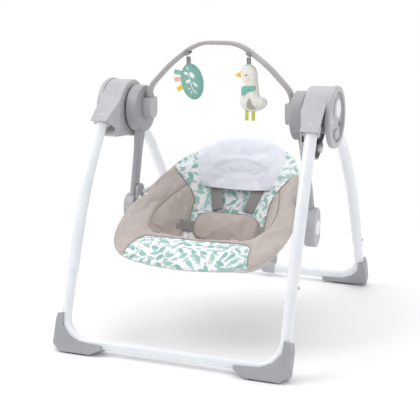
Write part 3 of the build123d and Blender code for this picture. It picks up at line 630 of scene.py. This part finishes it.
def makeSeat(plan):
    points, rowNumber = seatSurface(plan)
    x, s = rimCoordinates(points)
    inner = np.broadcast_to(rowNumber[:, None], x.shape)
    side = np.abs(x)
    # gathers of the lining: folds that fan out from the buckle slot and die out at the piping
    fan = np.arctan2(points[..., 2] - 0.168, points[..., 1] + 0.03)
    reach = smoothStep(8.15, 9.0, inner) * (1 - smoothStep(11.0, 12.2, inner))
    fold = np.sin(fan * 34 + 0.8 * np.sin(fan * 9)) * reach
    fold *= (backInside(x, s) < -0.004) * smoothStep(0.0, 0.02, side - 0.07)
    middle = points.mean(axis=1, keepdims=True)
    points = points + unit(middle - points) * (fold * 2.2 * mm)[..., None]
    # cloth coordinates of the print: x across, and up the back, up the rim's slope or down over the front
    down = runLength(points, 0)
    crest = np.argmin(np.abs(rowNumber - 5.8))
    down = down - down[crest]
    lean = math.radians(plan["backSlope"])
    upBack = points[..., 1] * math.cos(lean) + points[..., 2] * math.sin(lean)
    v = np.where(inner < rowNumber[crest], s[crest] + down, np.where(s > 0.12, upBack, s))
    cloth = np.stack([x, v], -1)
    sideways = runLength(np.concatenate([points, points[:, :1]], 1), 1)
    wall = np.concatenate([cloth, cloth[:, :1]], 1)
    length = np.concatenate([down, down[:, :1]], 1)
    taupe = np.stack([length, sideways], -1)
    # the print is on the apron, down to the hem, and on the back panel, down to the bottom of the bucket
    onApron = np.where((inner > 4.75) & (inner < 8.6), apronInside(x, s), -0.05)
    onBack = (inner > 4.1) & (s > 0.13) & ((inner < 8.1) | (points[..., 2] > 0.165))
    printed = np.maximum(onApron, np.where(onBack, backInside(x, s), -0.05))
    useWall = np.concatenate([printed, printed[:, :1]], 1)[..., None] > -0.006
    return gridPiece("seatCover", points, finish["seat"], wrapColumns=True,
                     cloth=np.where(useWall, wall, taupe), values={"printed": printed, "inner": inner})


seatCover = makeSeat(seatPlan)
print("seat cover laid out:", len(seatCover.data.vertices), "points")


def seamDistances(mesh):
    # how far each point is from the nearest sewn line: panel edges, the lining's piping and the outer edge
    points = readPoints(mesh)
    x, s = rimCoordinates(points)
    inner = readValue(mesh, "inner")
    apron = np.where((inner > 4.4) & (inner < 8.6), np.abs(apronInside(x, s)), 1.0)
    back = np.where((inner > 5.2) & (s > 0.12), np.abs(backInside(x, s)), 1.0)
    onApron = apronInside(x, s) > 0
    piping = np.where((backInside(x, s) < 0) & ~onApron, np.abs(inner - seatPlan["seamRow"]) * 0.02, 1.0)
    edge = np.abs(inner - 4.7) * 0.02
    return np.minimum.reduce([apron, back, piping, edge])


def padSeat():
    mesh = seatCover.data
    sewn = seamDistances(mesh)
    inner = readValue(mesh, "inner")
    held = np.where(sewn < 2.2 * mm, 1.0, 0.0)
    held = np.maximum(held, np.where((inner < 4.2) | (inner > 12.5), 1.0, 0.0))
    # the padding is thick in the rim and the side panels, and thin under the pillow and the pad
    x, s = rimCoordinates(readPoints(mesh))
    underBack = smoothStep(-0.03, 0.0, backInside(x, s))
    thin = smoothStep(8.1, 8.8, inner) * np.maximum(underBack, smoothStep(9.6, 10.6, inner))
    cap = seatPlan["cap"] * mm * (1 - 0.88 * thin)
    inflate(seatCover, cap[:, None], held, pressure=5.0, slack=0.02)
    # the stitching draws the padding in beside each seam
    points = readPoints(mesh)
    points -= normalsOf(mesh) * (2.2 * mm * np.exp(-(sewn / (3.5 * mm)) ** 2))[:, None]
    writePoints(mesh, points)


padSeat()
subdivide(seatCover)
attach(seatCover, "seat")
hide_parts("seat_cover")
print("seat cover padded")

seatTree = BVHTree.FromObject(seatCover, bpy.context.evaluated_depsgraph_get())


def dropPoint(x, s):
    # the seat's surface under a point of the rim's plane
    start = rimFront + np.array([x, 0, 0]) + rimAlong * s + rimUp * 0.12
    place = seatTree.ray_cast(Vector(start), Vector(-rimUp))[0]
    return None if place is None else np.array(place)


def pipeOnSeat(name, outline, material, radius, lift=0.3):
    # piping: a round cord laid on the seat along a line of (x, s) points, sunk by most of its radius
    found = [dropPoint(x, s) for x, s in outline]
    line = np.array([place for place in found if place is not None])
    line += rimUp * radius * lift
    line = splineThrough(line[::2], len(line) * 2)
    piece = sweptPiece(name, line, ring(radius), material)
    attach(piece, "seat")
    return piece


def makeSeatPiping(plan):
    pipe = plan["pipe"] * mm
    half, top, r = plan["apronHalf"] * mm, plan["apronTop"] * mm, plan["apronCorner"] * mm
    turn = np.linspace(0, np.pi / 2, 9)
    corner = np.stack([half - r + r * np.cos(turn), top - r + r * np.sin(turn)], 1)
    right = np.concatenate([[(half, s) for s in np.linspace(-0.012, top - r, 9)[:-1]], corner])
    right[:, 0] -= plan["apronTaper"] * right[:, 1]
    reach = right[-1, 0]
    apron = np.concatenate([right, [(x, top) for x in np.linspace(reach, -reach, 27)[1:-1]],
                            (right * (-1, 1))[::-1]])
    pipeOnSeat("apronPiping", apron, finish["piping"], pipe * 0.8)
    for side, tag in ((-1, "Left"), (1, "Right")):
        s = np.linspace(0.20, 0.335, 30)
        x = side * (plan["backHalf"] * mm + plan["backSpread"] * mm
                    * smoothStep(plan["backFrom"] * mm, plan["backFull"] * mm, s))
        pipeOnSeat("backPanelPiping" + tag, np.stack([x, s], 1), finish["piping"], pipe)
        points, rowNumber = seatSurface(plan)
        row = points[np.argmin(np.abs(rowNumber - plan["seamRow"]))]
        rx, rs = rimCoordinates(row)
        keep = (rx * side > 0) & (apronInside(rx, rs) < 0) & (backInside(rx, rs) < 0.004)
        line = np.stack([rx[keep], rs[keep]], 1)
        pipeOnSeat("liningPiping" + tag, line[np.argsort(line[:, 1])], finish["piping"], pipe)


makeSeatPiping(seatPlan)
print("seat piping")


# ---- head pillow ----
pillowPlan = {
    "centre": (0.0, 96.0, 298.0), "slope": 51.0,
    "half": 121.0, "high": 94.0, "low": 37.0,     # half width, reach above and below the centre
    "thick": 13.0,                                # half thickness before it is stuffed
    "archHalf": 78.0, "archHigh": 72.0,           # inner arch, from the lower hem
    "curl": 15.0,                                 # rise of the two ends, over the seat's sides
    "cap": 8.0,
}


def planeOf(centre, slope):
    a = math.radians(slope)
    return (np.array(centre) * mm, np.array([1.0, 0, 0]), np.array([0.0, math.cos(a), math.sin(a)]),
            np.array([0.0, -math.sin(a), math.cos(a)]))


def padSurface(plane, outline, thick, rings, height, fullness=2.6):
    # a two-sided pad: the point at radius r and angle a is r times the outline; its height from the middle
    # plane is thick * sqrt(1 - r^fullness), and on the front face that times height(u, v)
    origin, across, along, up = plane
    r = np.sin(np.linspace(0, np.pi / 2, rings))
    face = np.sqrt(np.clip(1 - r ** fullness, 0, 1))
    both = np.concatenate([r, r[-2::-1]])
    rise = np.concatenate([face, -face[-2::-1]])
    u = both[:, None] * outline[None, :, 0]
    v = both[:, None] * outline[None, :, 1]
    top = rise[:, None] > 0
    w = rise[:, None] * thick * np.where(top, height(u, v), 1.0)
    return (origin + u[..., None] * across + v[..., None] * along + w[..., None] * up), u, v, w


def padPiece(name, plane, outline, thick, rings, height, material, fullness=2.6):
    points, u, v, w = padSurface(plane, outline, thick, rings, height, fullness)
    cloth = np.stack([u, v], -1)
    cloth = np.concatenate([cloth, cloth[:, :1]], 1)
    edge = np.broadcast_to((np.arange(len(points)) - (len(points) - 1) / 2)[:, None], u.shape)
    return gridPiece(name, points, material, wrapColumns=True, cloth=cloth,
                     values={"u": u, "v": v, "up": w, "edge": edge})


def makePillow(plan):
    angle = np.linspace(0, 2 * np.pi, 128, endpoint=False)
    cos, sin = np.cos(angle), np.sin(angle)
    # rounder above (exponent 2.1) and squarer below (exponent 4)
    power = np.where(sin > 0, 2.1, 4.0)
    reach = np.where(sin > 0, plan["high"], plan["low"])
    outline = np.stack([plan["half"] * np.sign(cos) * np.abs(cos) ** (2 / power),
                        reach * np.sign(sin) * np.abs(sin) ** (2 / power)], 1) * mm

    def archDistance(u, v):
        low = -plan["low"] * mm
        size = np.hypot(u / (plan["archHalf"] * mm), (v - low) / (plan["archHigh"] * mm))
        return (size - 1) * plan["archHalf"] * mm

    def height(u, v):
        inside = archDistance(u, v)
        recess = 1 - smoothStep(-7 * mm, 5 * mm, inside)
        return 1.0 - 0.42 * recess - 0.25 * np.exp(-(inside / (4 * mm)) ** 2)

    plane = planeOf(plan["centre"], plan["slope"])
    pillow = padPiece("headPillow", plane, outline, plan["thick"] * mm, 34, height, finish["plush"])
    mesh = pillow.data
    rise = (readValue(mesh, "u") / (plan["half"] * mm)) ** 2 * plan["curl"] * mm
    writePoints(mesh, readPoints(mesh) + rise[:, None] * plane[3])
    seam = np.abs(archDistance(readValue(mesh, "u"), readValue(mesh, "v")))
    held = np.where(np.abs(readValue(mesh, "edge")) < 0.5, 1.0, 0.0)
    held = np.maximum(held, np.where((seam < 2.4 * mm) & (readValue(mesh, "up") > 0), 1.0, 0.0))
    inflate(pillow, plan["cap"] * mm, held, pressure=5.0, slack=0.03)
    subdivide(pillow)
    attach(pillow, "seat")
    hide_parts("head_pillow")
    # hem piping round the edge
    origin, across, along, up = plane
    rise = (outline[:, :1] / (plan["half"] * mm)) ** 2 * plan["curl"] * mm
    line = origin + outline[:, :1] * across + outline[:, 1:] * along + rise * up
    hem = sweptPiece("pillowHem", line, ring(1.3 * mm), finish["plush"], closed=True)
    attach(hem, "seat")


makePillow(pillowPlan)
print("pillow stuffed")


# ---- crotch pad ----
crotchPlan = {
    "centre": (0.0, 8.0, 193.0), "slope": 56.0,
    "half": 75.0, "high": 35.0, "power": 3.0,
    "thick": 7.5, "gusset": 7.5,        # half thickness of the crown and half height of the side band
    "cap": 6.0, "pipe": 1.3,
}


def makeCrotchPad(plan):
    angle = np.linspace(0, 2 * np.pi, 112, endpoint=False)
    cos, sin = np.cos(angle), np.sin(angle)
    outline = np.stack([plan["half"] * np.sign(cos) * np.abs(cos) ** (2 / plan["power"]),
                        plan["high"] * np.sign(sin) * np.abs(sin) ** (2 / plan["power"])], 1) * mm
    plane = planeOf(plan["centre"], plan["slope"])
    origin, across, along, up = plane
    # face, side band and back: the crown is added above the band on each side
    r = np.concatenate([np.linspace(0, 1, 16), [1.0, 1.0, 1.0], np.linspace(1, 0, 16)])
    crown = np.sqrt(np.clip(1 - np.linspace(0, 1, 16) ** 2.6, 0, 1)) * plan["thick"] * mm
    band = plan["gusset"] * mm
    w = np.concatenate([band + crown, [band * 0.5, 0.0, -band * 0.5], -(band + crown * 0.4)[::-1]])
    bulge = np.concatenate([np.zeros(16), [0.6, 1.0, 0.6], np.zeros(16)]) * 1.2 * mm
    flat = r[:, None, None] * outline[None] + bulge[:, None, None] * unit(outline)[None]
    points = origin + flat[..., :1] * across + flat[..., 1:] * along + w[:, None, None] * up
    cloth = np.concatenate([flat, flat[:, :1]], 1) + np.stack([0 * w, w], 1)[:, None] * 0.5
    seam = np.zeros(len(r))
    seam[[15, 19]] = 1.0
    pad = gridPiece("crotchPad", points, finish["melange"], wrapColumns=True, cloth=cloth,
                    values={"seam": np.broadcast_to(seam[:, None], flat.shape[:2])})
    inflate(pad, plan["cap"] * mm, readValue(pad.data, "seam"), pressure=6.0, slack=0.02)
    subdivide(pad)
    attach(pad, "seat")
    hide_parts("crotch_pad")
    for tag, level in (("Face", band), ("Back", -band)):
        line = origin + outline[:, :1] * across + outline[:, 1:] * along + level * up
        pipe = sweptPiece("crotchPadPiping" + tag, line, ring(plan["pipe"] * mm), finish["piping"],
                          closed=True)
        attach(pipe, "seat")


makeCrotchPad(crotchPlan)
print("crotch pad stuffed")


# ---- harness ----
strapPlan = {
    "width": 26.0, "thick": 2.0,
    # each strap's middle line in mm, and the direction of its width
    "shoulderLeft": ([(-52, 92, 274), (-49, 79, 258), (-42, 62, 238), (-36, 48, 222)], (1, 0, 0)),
    "shoulderRight": ([(52, 92, 274), (49, 79, 258), (42, 62, 238), (36, 48, 222)], (1, 0, 0)),
    "waistLeft": ([(-112, -38, 208), (-100, -27, 204), (-86, -11, 198), (-72, 2, 193)], (-0.2, 0.5, 0.85)),
    "waistRight": ([(112, -38, 208), (100, -27, 204), (86, -11, 198), (72, 2, 193)], (0.2, 0.5, 0.85)),
    "crotch": ([(0, -58, 160), (0, -42, 163), (0, -22, 165)], (1, 0, 0)),
}


def overSeat(path, reach, gap):
    # lifts the path, square to the rim's plane, where the seat under its middle or its edges comes through it
    x, s = rimCoordinates(path)
    lifted = path.copy()
    for i in range(len(path)):
        found = [dropPoint(x[i] + step, s[i]) for step in (-reach, 0.0, reach)]
        heights = [(place - path[i]) @ rimUp for place in found if place is not None]
        lifted[i] += rimUp * max([0.0] + [height + gap for height in heights])
    return lifted


def makeStraps(plan):
    for name in ("shoulderLeft", "shoulderRight", "waistLeft", "waistRight", "crotch"):
        knots, across = plan[name]
        width = 38.0 if name == "crotch" else plan["width"]
        path = splineThrough(np.array(knots, float) * mm, 24)
        if name.startswith("shoulder"):
            path = overSeat(path, 0.4 * width * mm, 2.0 * mm)
        section = tapeSection(width * mm, plan["thick"] * mm)
        strap = sweptPiece(name + "Strap", path, section, finish["webbing"], side=np.array(across, float))
        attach(strap, "seat")
    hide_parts("harness_straps")
    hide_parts("crotch_strap")


makeStraps(strapPlan)
print("harness")


# ---- toys ----
toyPlan = {
    "bar": -35.0,                       # y of the bar and of both toys, mm
    "leaf": {"centre": (-60.0, 519.0), "half": 24.0, "high": 37.0, "lean": 11.5, "thick": 7.0},
    "tags": [("mintTag", "#93d1c1", (-84, 536), 172), ("peachTag", "#f9c7ad", (-84, 524), 188),
             ("yellowTag", "#f5d65c", (-80, 510), 214)],
    "tagLength": 17.0, "tagWidth": 10.0,
    "birdBody": [(58, 514), (54, 500), (49, 486), (52, 471), (64, 463), (82, 463), (98, 470), (106, 480),
                 (101, 489), (92, 492), (88, 500), (85, 514)],
    "birdHead": [(66, 558), (56, 554), (49, 543), (51, 530), (57, 518), (58, 506), (72, 502), (86, 506),
                 (85, 522), (84, 540), (78, 553)],
    "birdThick": 10.0,
    "birdLegs": [(62, 76), 8.0, 464.0, 442.5],     # x of each, width, top and bottom
    "hangers": [("leafHanger", "leaf", -68.0, 574.0, 553.0), ("birdHanger", "bird", 66.0, 575.0, 555.0)],
}


# Brushed cotton: flat and soft, with a fine nap 2 mm apart and a faint change of tone.
def brushedCotton(name, light, dark, sheen=0.3):
    material, tree, shader = newMaterial(name, Roughness=0.9, Sheen_Weight=sheen)
    where = addNode(tree, "TexCoord").outputs["Object"]
    broad = addNode(tree, "TexNoise", {"Vector": where, "Scale": 1 / (9 * mm), "Detail": 3.0})
    baseColour(tree, shader, broad.outputs["Fac"], [(0.3, dark), (0.7, light)])
    nap = addNode(tree, "TexNoise", {"Vector": where, "Scale": 1 / (2 * mm), "Detail": 2.0})
    clothBump(tree, shader, nap.outputs["Fac"], 0.3, 0.3 * mm)
    return material


cotton = {
    "leaf": brushedCotton("brushedCottonSeaGreen", "#8cbdb2", "#7fb1a6"),
    "white": brushedCotton("brushedCottonWhite", "#fbfbfa", "#eeeeec"),
    "cream": brushedCotton("brushedCottonCream", "#f4f2ea", "#e7e4d9"),
    "scarf": brushedCotton("brushedCottonTeal", "#88c2b7", "#79b2a7"),
    "wing": brushedCotton("brushedCottonGrey", "#b1aca7", "#a39e99"),
    "beak": brushedCotton("brushedCottonYellow", "#f7d25a", "#eec247"),
    "cheek": brushedCotton("brushedCottonPink", "#f8d3c4", "#f3c6b5"),
    "legs": brushedCotton("brushedCottonLime", "#d3da62", "#c6cd4f"),
    "edge": brushedCotton("brushedCottonIceBlue", "#bcd9df", "#adcdd4"),
    "thread": brushedCotton("embroideryThreadBlack", "#2d2e33", "#222327", sheen=0.1),
}


def toyPlane(x, z, lean=0.0):
    # the toys' own plane: across, along and out of the front face
    a = math.radians(lean)
    return (np.array([x, toyPlan["bar"], z]) * mm, np.array([math.cos(a), 0, math.sin(a)]),
            np.array([-math.sin(a), 0, math.cos(a)]), np.array([0.0, -1.0, 0.0]))


def ellipseOutline(half, high, count=48):
    angle = np.linspace(0, 2 * np.pi, count, endpoint=False)
    return np.stack([half * np.cos(angle), high * np.sin(angle)], 1) * mm


def evenHeight(u, v):
    return np.ones_like(u)


def patch(name, body, plane, centre, outline, material, base, thick=0.8):
    # a thin sewn-on shape: a low dome of the outline, laid on the face whose height is base(u, v)
    flatPlane = (np.zeros(3), np.array([1.0, 0, 0]), np.array([0, 1.0, 0]), np.array([0, 0, 1.0]))
    points = padSurface(flatPlane, outline, thick * mm, 7, evenHeight, fullness=6.0)[0]
    u, v = points[..., 0] + centre[0] * mm, points[..., 1] + centre[1] * mm
    origin, across, along, up = plane
    w = base(u, v) + points[..., 2] + 0.15 * mm
    place = origin + u[..., None] * across + v[..., None] * along + w[..., None] * up
    piece = gridPiece(name, place, material, wrapColumns=True)
    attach(piece, body)
    return piece


def lensOutline(length, width, turn, count=20):
    # a leaf shape: half width = width/2 (1 - t^2) along its length, turned by an angle in degrees
    t = np.linspace(-1, 1, count)
    half = (width / 2) * (1 - t ** 2)
    upper, lower = np.stack([t * length / 2, half], 1), np.stack([t * length / 2, -half], 1)
    edge = np.concatenate([upper, lower[-2:0:-1]], 0)
    a = math.radians(turn)
    return np.stack([edge[:, 0] * math.cos(a) - edge[:, 1] * math.sin(a),
                     edge[:, 0] * math.sin(a) + edge[:, 1] * math.cos(a)], 1) * mm


def makeLeafToy(plan):
    leaf = plan["leaf"]
    plane = toyPlane(*leaf["centre"], leaf["lean"])
    pad = padPiece("leafPad", plane, ellipseOutline(leaf["half"], leaf["high"], 72), leaf["thick"] * mm, 18,
                   evenHeight, cotton["leaf"])
    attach(pad, "leaf")
    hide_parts("leaf_toy")
    origin, across, along, up = plane
    outline = ellipseOutline(leaf["half"] + 0.4, leaf["high"] + 0.4, 64)
    seam = sweptPiece("leafSeam", origin + outline[:, :1] * across + outline[:, 1:] * along, ring(0.9 * mm),
                      cotton["leaf"], closed=True)
    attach(seam, "leaf")

    def face(u, v):
        r = np.clip(np.hypot(u / (leaf["half"] * mm), v / (leaf["high"] * mm)), 0, 0.98)
        return leaf["thick"] * mm * np.sqrt(1 - r ** 2.6)

    # the sprig: a stem with paired leaves, each (u, v, length, width, turn)
    sprig = [(-1, -2, 54, 1.8, 96), (-8, 19, 12, 6.5, 155), (5, 13, 17, 9, 118), (-7, 2, 12, 7, 20),
             (8, -7, 16, 5.5, 125), (-7, -14, 10, 2.4, 15), (-4, -22, 11, 2.2, 60), (5, -22, 12, 2.2, 118),
             (-3, 29, 10, 2.6, 110)]
    for number, (u, v, length, width, turn) in enumerate(sprig):
        patch("sprig" + str(number), "leaf", plane, (u, v), lensOutline(length, width, turn),
              cotton["white"], face, thick=0.5)
    for name, colour, (x, z), turn in plan["tags"]:
        material = ribbedWebbing("satinRibbon" + name, colour, colour, rib=1.4 * mm)
        a = math.radians(turn)
        t = np.linspace(0, 1, 9)
        path = np.stack([x + plan["tagLength"] * t * math.cos(a), plan["bar"] + 0.6 * np.sin(t * 3.0),
                         z + plan["tagLength"] * t * math.sin(a)], 1) * mm
        tag = sweptPiece(name, path, tapeSection(plan["tagWidth"] * mm, 2.2 * mm), material,
                         side=np.array([-math.sin(a), 0.0, math.cos(a)]))
        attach(tag, "leaf")
    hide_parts("leaf_ribbons")


def makeBirdToy(plan):
    plane = toyPlane(72.0, 500.0)
    thick = plan["birdThick"] * mm
    for name, key, middle in (("birdBody", "birdBody", (74, 484)), ("birdHead", "birdHead", (69, 530))):
        outline = splineThrough(np.array(plan[key], float) - middle, 84, closed=True) * mm
        part = toyPlane(*middle)
        pad = padPiece(name, part, outline, thick, 18, evenHeight, cotton["cream"], fullness=3.4)
        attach(pad, "bird")
        origin, across, along, up = part
        seam = sweptPiece(name + "Gusset", origin + outline[:, :1] * across + outline[:, 1:] * along,
                          ring(1.0 * mm), cotton["edge"], closed=True)
        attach(seam, "bird")
    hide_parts("bird_toy")
    beakKnots = np.array([(-7.5, -1), (-1, 4.6), (5, 6), (7, 0), (5, -5.5), (0, -4)], float)
    beakOutline = splineThrough(beakKnots, 40, closed=True) * mm
    beak = padPiece("birdBeak", toyPlane(44.0, 536.0), beakOutline, 4.5 * mm, 9, evenHeight, cotton["beak"])
    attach(beak, "bird")

    def face(u, v):
        return thick * 0.97 * np.ones_like(u)

    def patchAt(name, points, key, lift=0.8):
        points = np.array(points, float)
        middle = points.mean(0)
        outline = splineThrough(points - middle, 40, closed=True) * mm
        patch(name, "bird", plane, tuple(middle - (72.0, 500.0)), outline, cotton[key], face, thick=lift)

    patchAt("birdScarf", [(55, 513), (70, 515), (84, 514), (84, 508), (70, 503), (54, 495), (53, 504)],
            "scarf", 1.3)
    patchAt("birdWing", [(71, 490), (65, 480), (66, 471), (74, 467), (84, 468), (78, 477)], "wing")
    spots = (("birdEye", (63.5, 537), 1.7, "thread"), ("birdCheek", (67.5, 528), 2.8, "cheek"))
    for name, centre, size, key in spots:
        patch(name, "bird", plane, (centre[0] - 72.0, centre[1] - 500.0), ellipseOutline(size, size, 20),
              cotton[key], face, thick=0.9)
    legs, width, top, bottom = plan["birdLegs"]
    for number, x in enumerate(legs):
        path = np.stack([np.full(7, x), np.full(7, plan["bar"]), np.linspace(top, bottom, 7)], 1) * mm
        leg = sweptPiece("birdLeg" + str(number), path, tapeSection(width * mm, 3.0 * mm), cotton["legs"],
                         side=np.array([1.0, 0, 0]))
        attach(leg, "bird")
    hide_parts("bird_legs")


def makeHangers(plan):
    barPoints = readPoints(nodes["toy_bar"].data)
    for name, body, x, top, bottom in plan["hangers"]:
        near = [barPoints[np.abs(barPoints[:, 0] - (x + step) * mm) < 7 * mm].mean(0) for step in (-12, 12)]
        centre = (near[0] + near[1]) / 2
        along = unit(near[1] - near[0])
        out = np.cross(along, (0.0, 1.0, 0.0))
        # the loop: a rounded rectangle round the bar, exponent 5
        angle = np.linspace(0, 2 * np.pi, 48, endpoint=False)
        rx = 11.2 * mm * np.sign(np.cos(angle)) * np.abs(np.cos(angle)) ** 0.4
        rz = 5.2 * mm * np.sign(np.sin(angle)) * np.abs(np.sin(angle)) ** 0.4
        path = centre + rx[:, None] * np.array([0.0, 1.0, 0.0]) + rz[:, None] * out
        loop = sweptPiece(name + "Loop", path, tapeSection(10 * mm, 1.2 * mm), finish["ribbon"],
                          closed=True, side=along)
        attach(loop, "bar")
        drop = np.linspace(top - 3.0, bottom, 9)
        line = np.stack([np.full(9, x), plan["bar"] + 0.8 * np.sin(np.linspace(0, 3.1, 9)), drop], 1) * mm
        hanger = sweptPiece(name, line, tapeSection(10 * mm, 1.8 * mm), finish["ribbon"],
                            side=np.array([1.0, 0, 0]))
        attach(hanger, body)
        if body == "bird":
            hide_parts("bird_ribbon")
    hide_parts("toy_loops")


makeLeafToy(toyPlan)
makeBirdToy(toyPlan)
makeHangers(toyPlan)
print("toys")


# ---- floor ----
def makeFloor():
    # a plane with a soft rise far behind: height = 0 up to 3 m, then a quarter circle
    x = np.linspace(-40, 40, 3)
    y = np.concatenate([[-40.0, 3.0], 3.0 + 2.0 * np.sin(np.linspace(0, np.pi / 2, 13)[1:]), [5.0]])
    z = np.concatenate([[0.0, 0.0], 2.0 - 2.0 * np.cos(np.linspace(0, np.pi / 2, 13)[1:]), [9.0]])
    points = np.stack([np.broadcast_to(x[:, None], (3, len(y))), np.broadcast_to(y, (3, len(y))),
                       np.broadcast_to(z, (3, len(y)))], -1)
    # white paper that keeps the object's shadow near it and is evenly lit white further away
    material, tree, shader = newMaterial("paperBackdrop", Roughness=0.95)
    shader.inputs["Base Color"].default_value = toLinear("#fdfdfe")
    where = addNode(tree, "TexCoord").outputs["Object"]
    far = addNode(tree, "VectorMath", {0: where}, operation="LENGTH").outputs["Value"]
    fade = addNode(tree, "MapRange", {"Value": far, "From Min": 0.42, "From Max": 1.25},
                   interpolation_type="SMOOTHSTEP").outputs["Result"]
    glow = addNode(tree, "Emission", {"Color": (1.0, 1.0, 1.0, 1.0), "Strength": 1.0})
    mix = addNode(tree, "MixShader", {0: fade, 1: shader.outputs[0], 2: glow.outputs[0]})
    output = next(node for node in tree.nodes if node.type == "OUTPUT_MATERIAL")
    tree.links.new(mix.outputs[0], output.inputs["Surface"])
    floor = gridPiece("floor", points, material)
    floor.location.z = -0.0005


makeFloor()
print("floor")
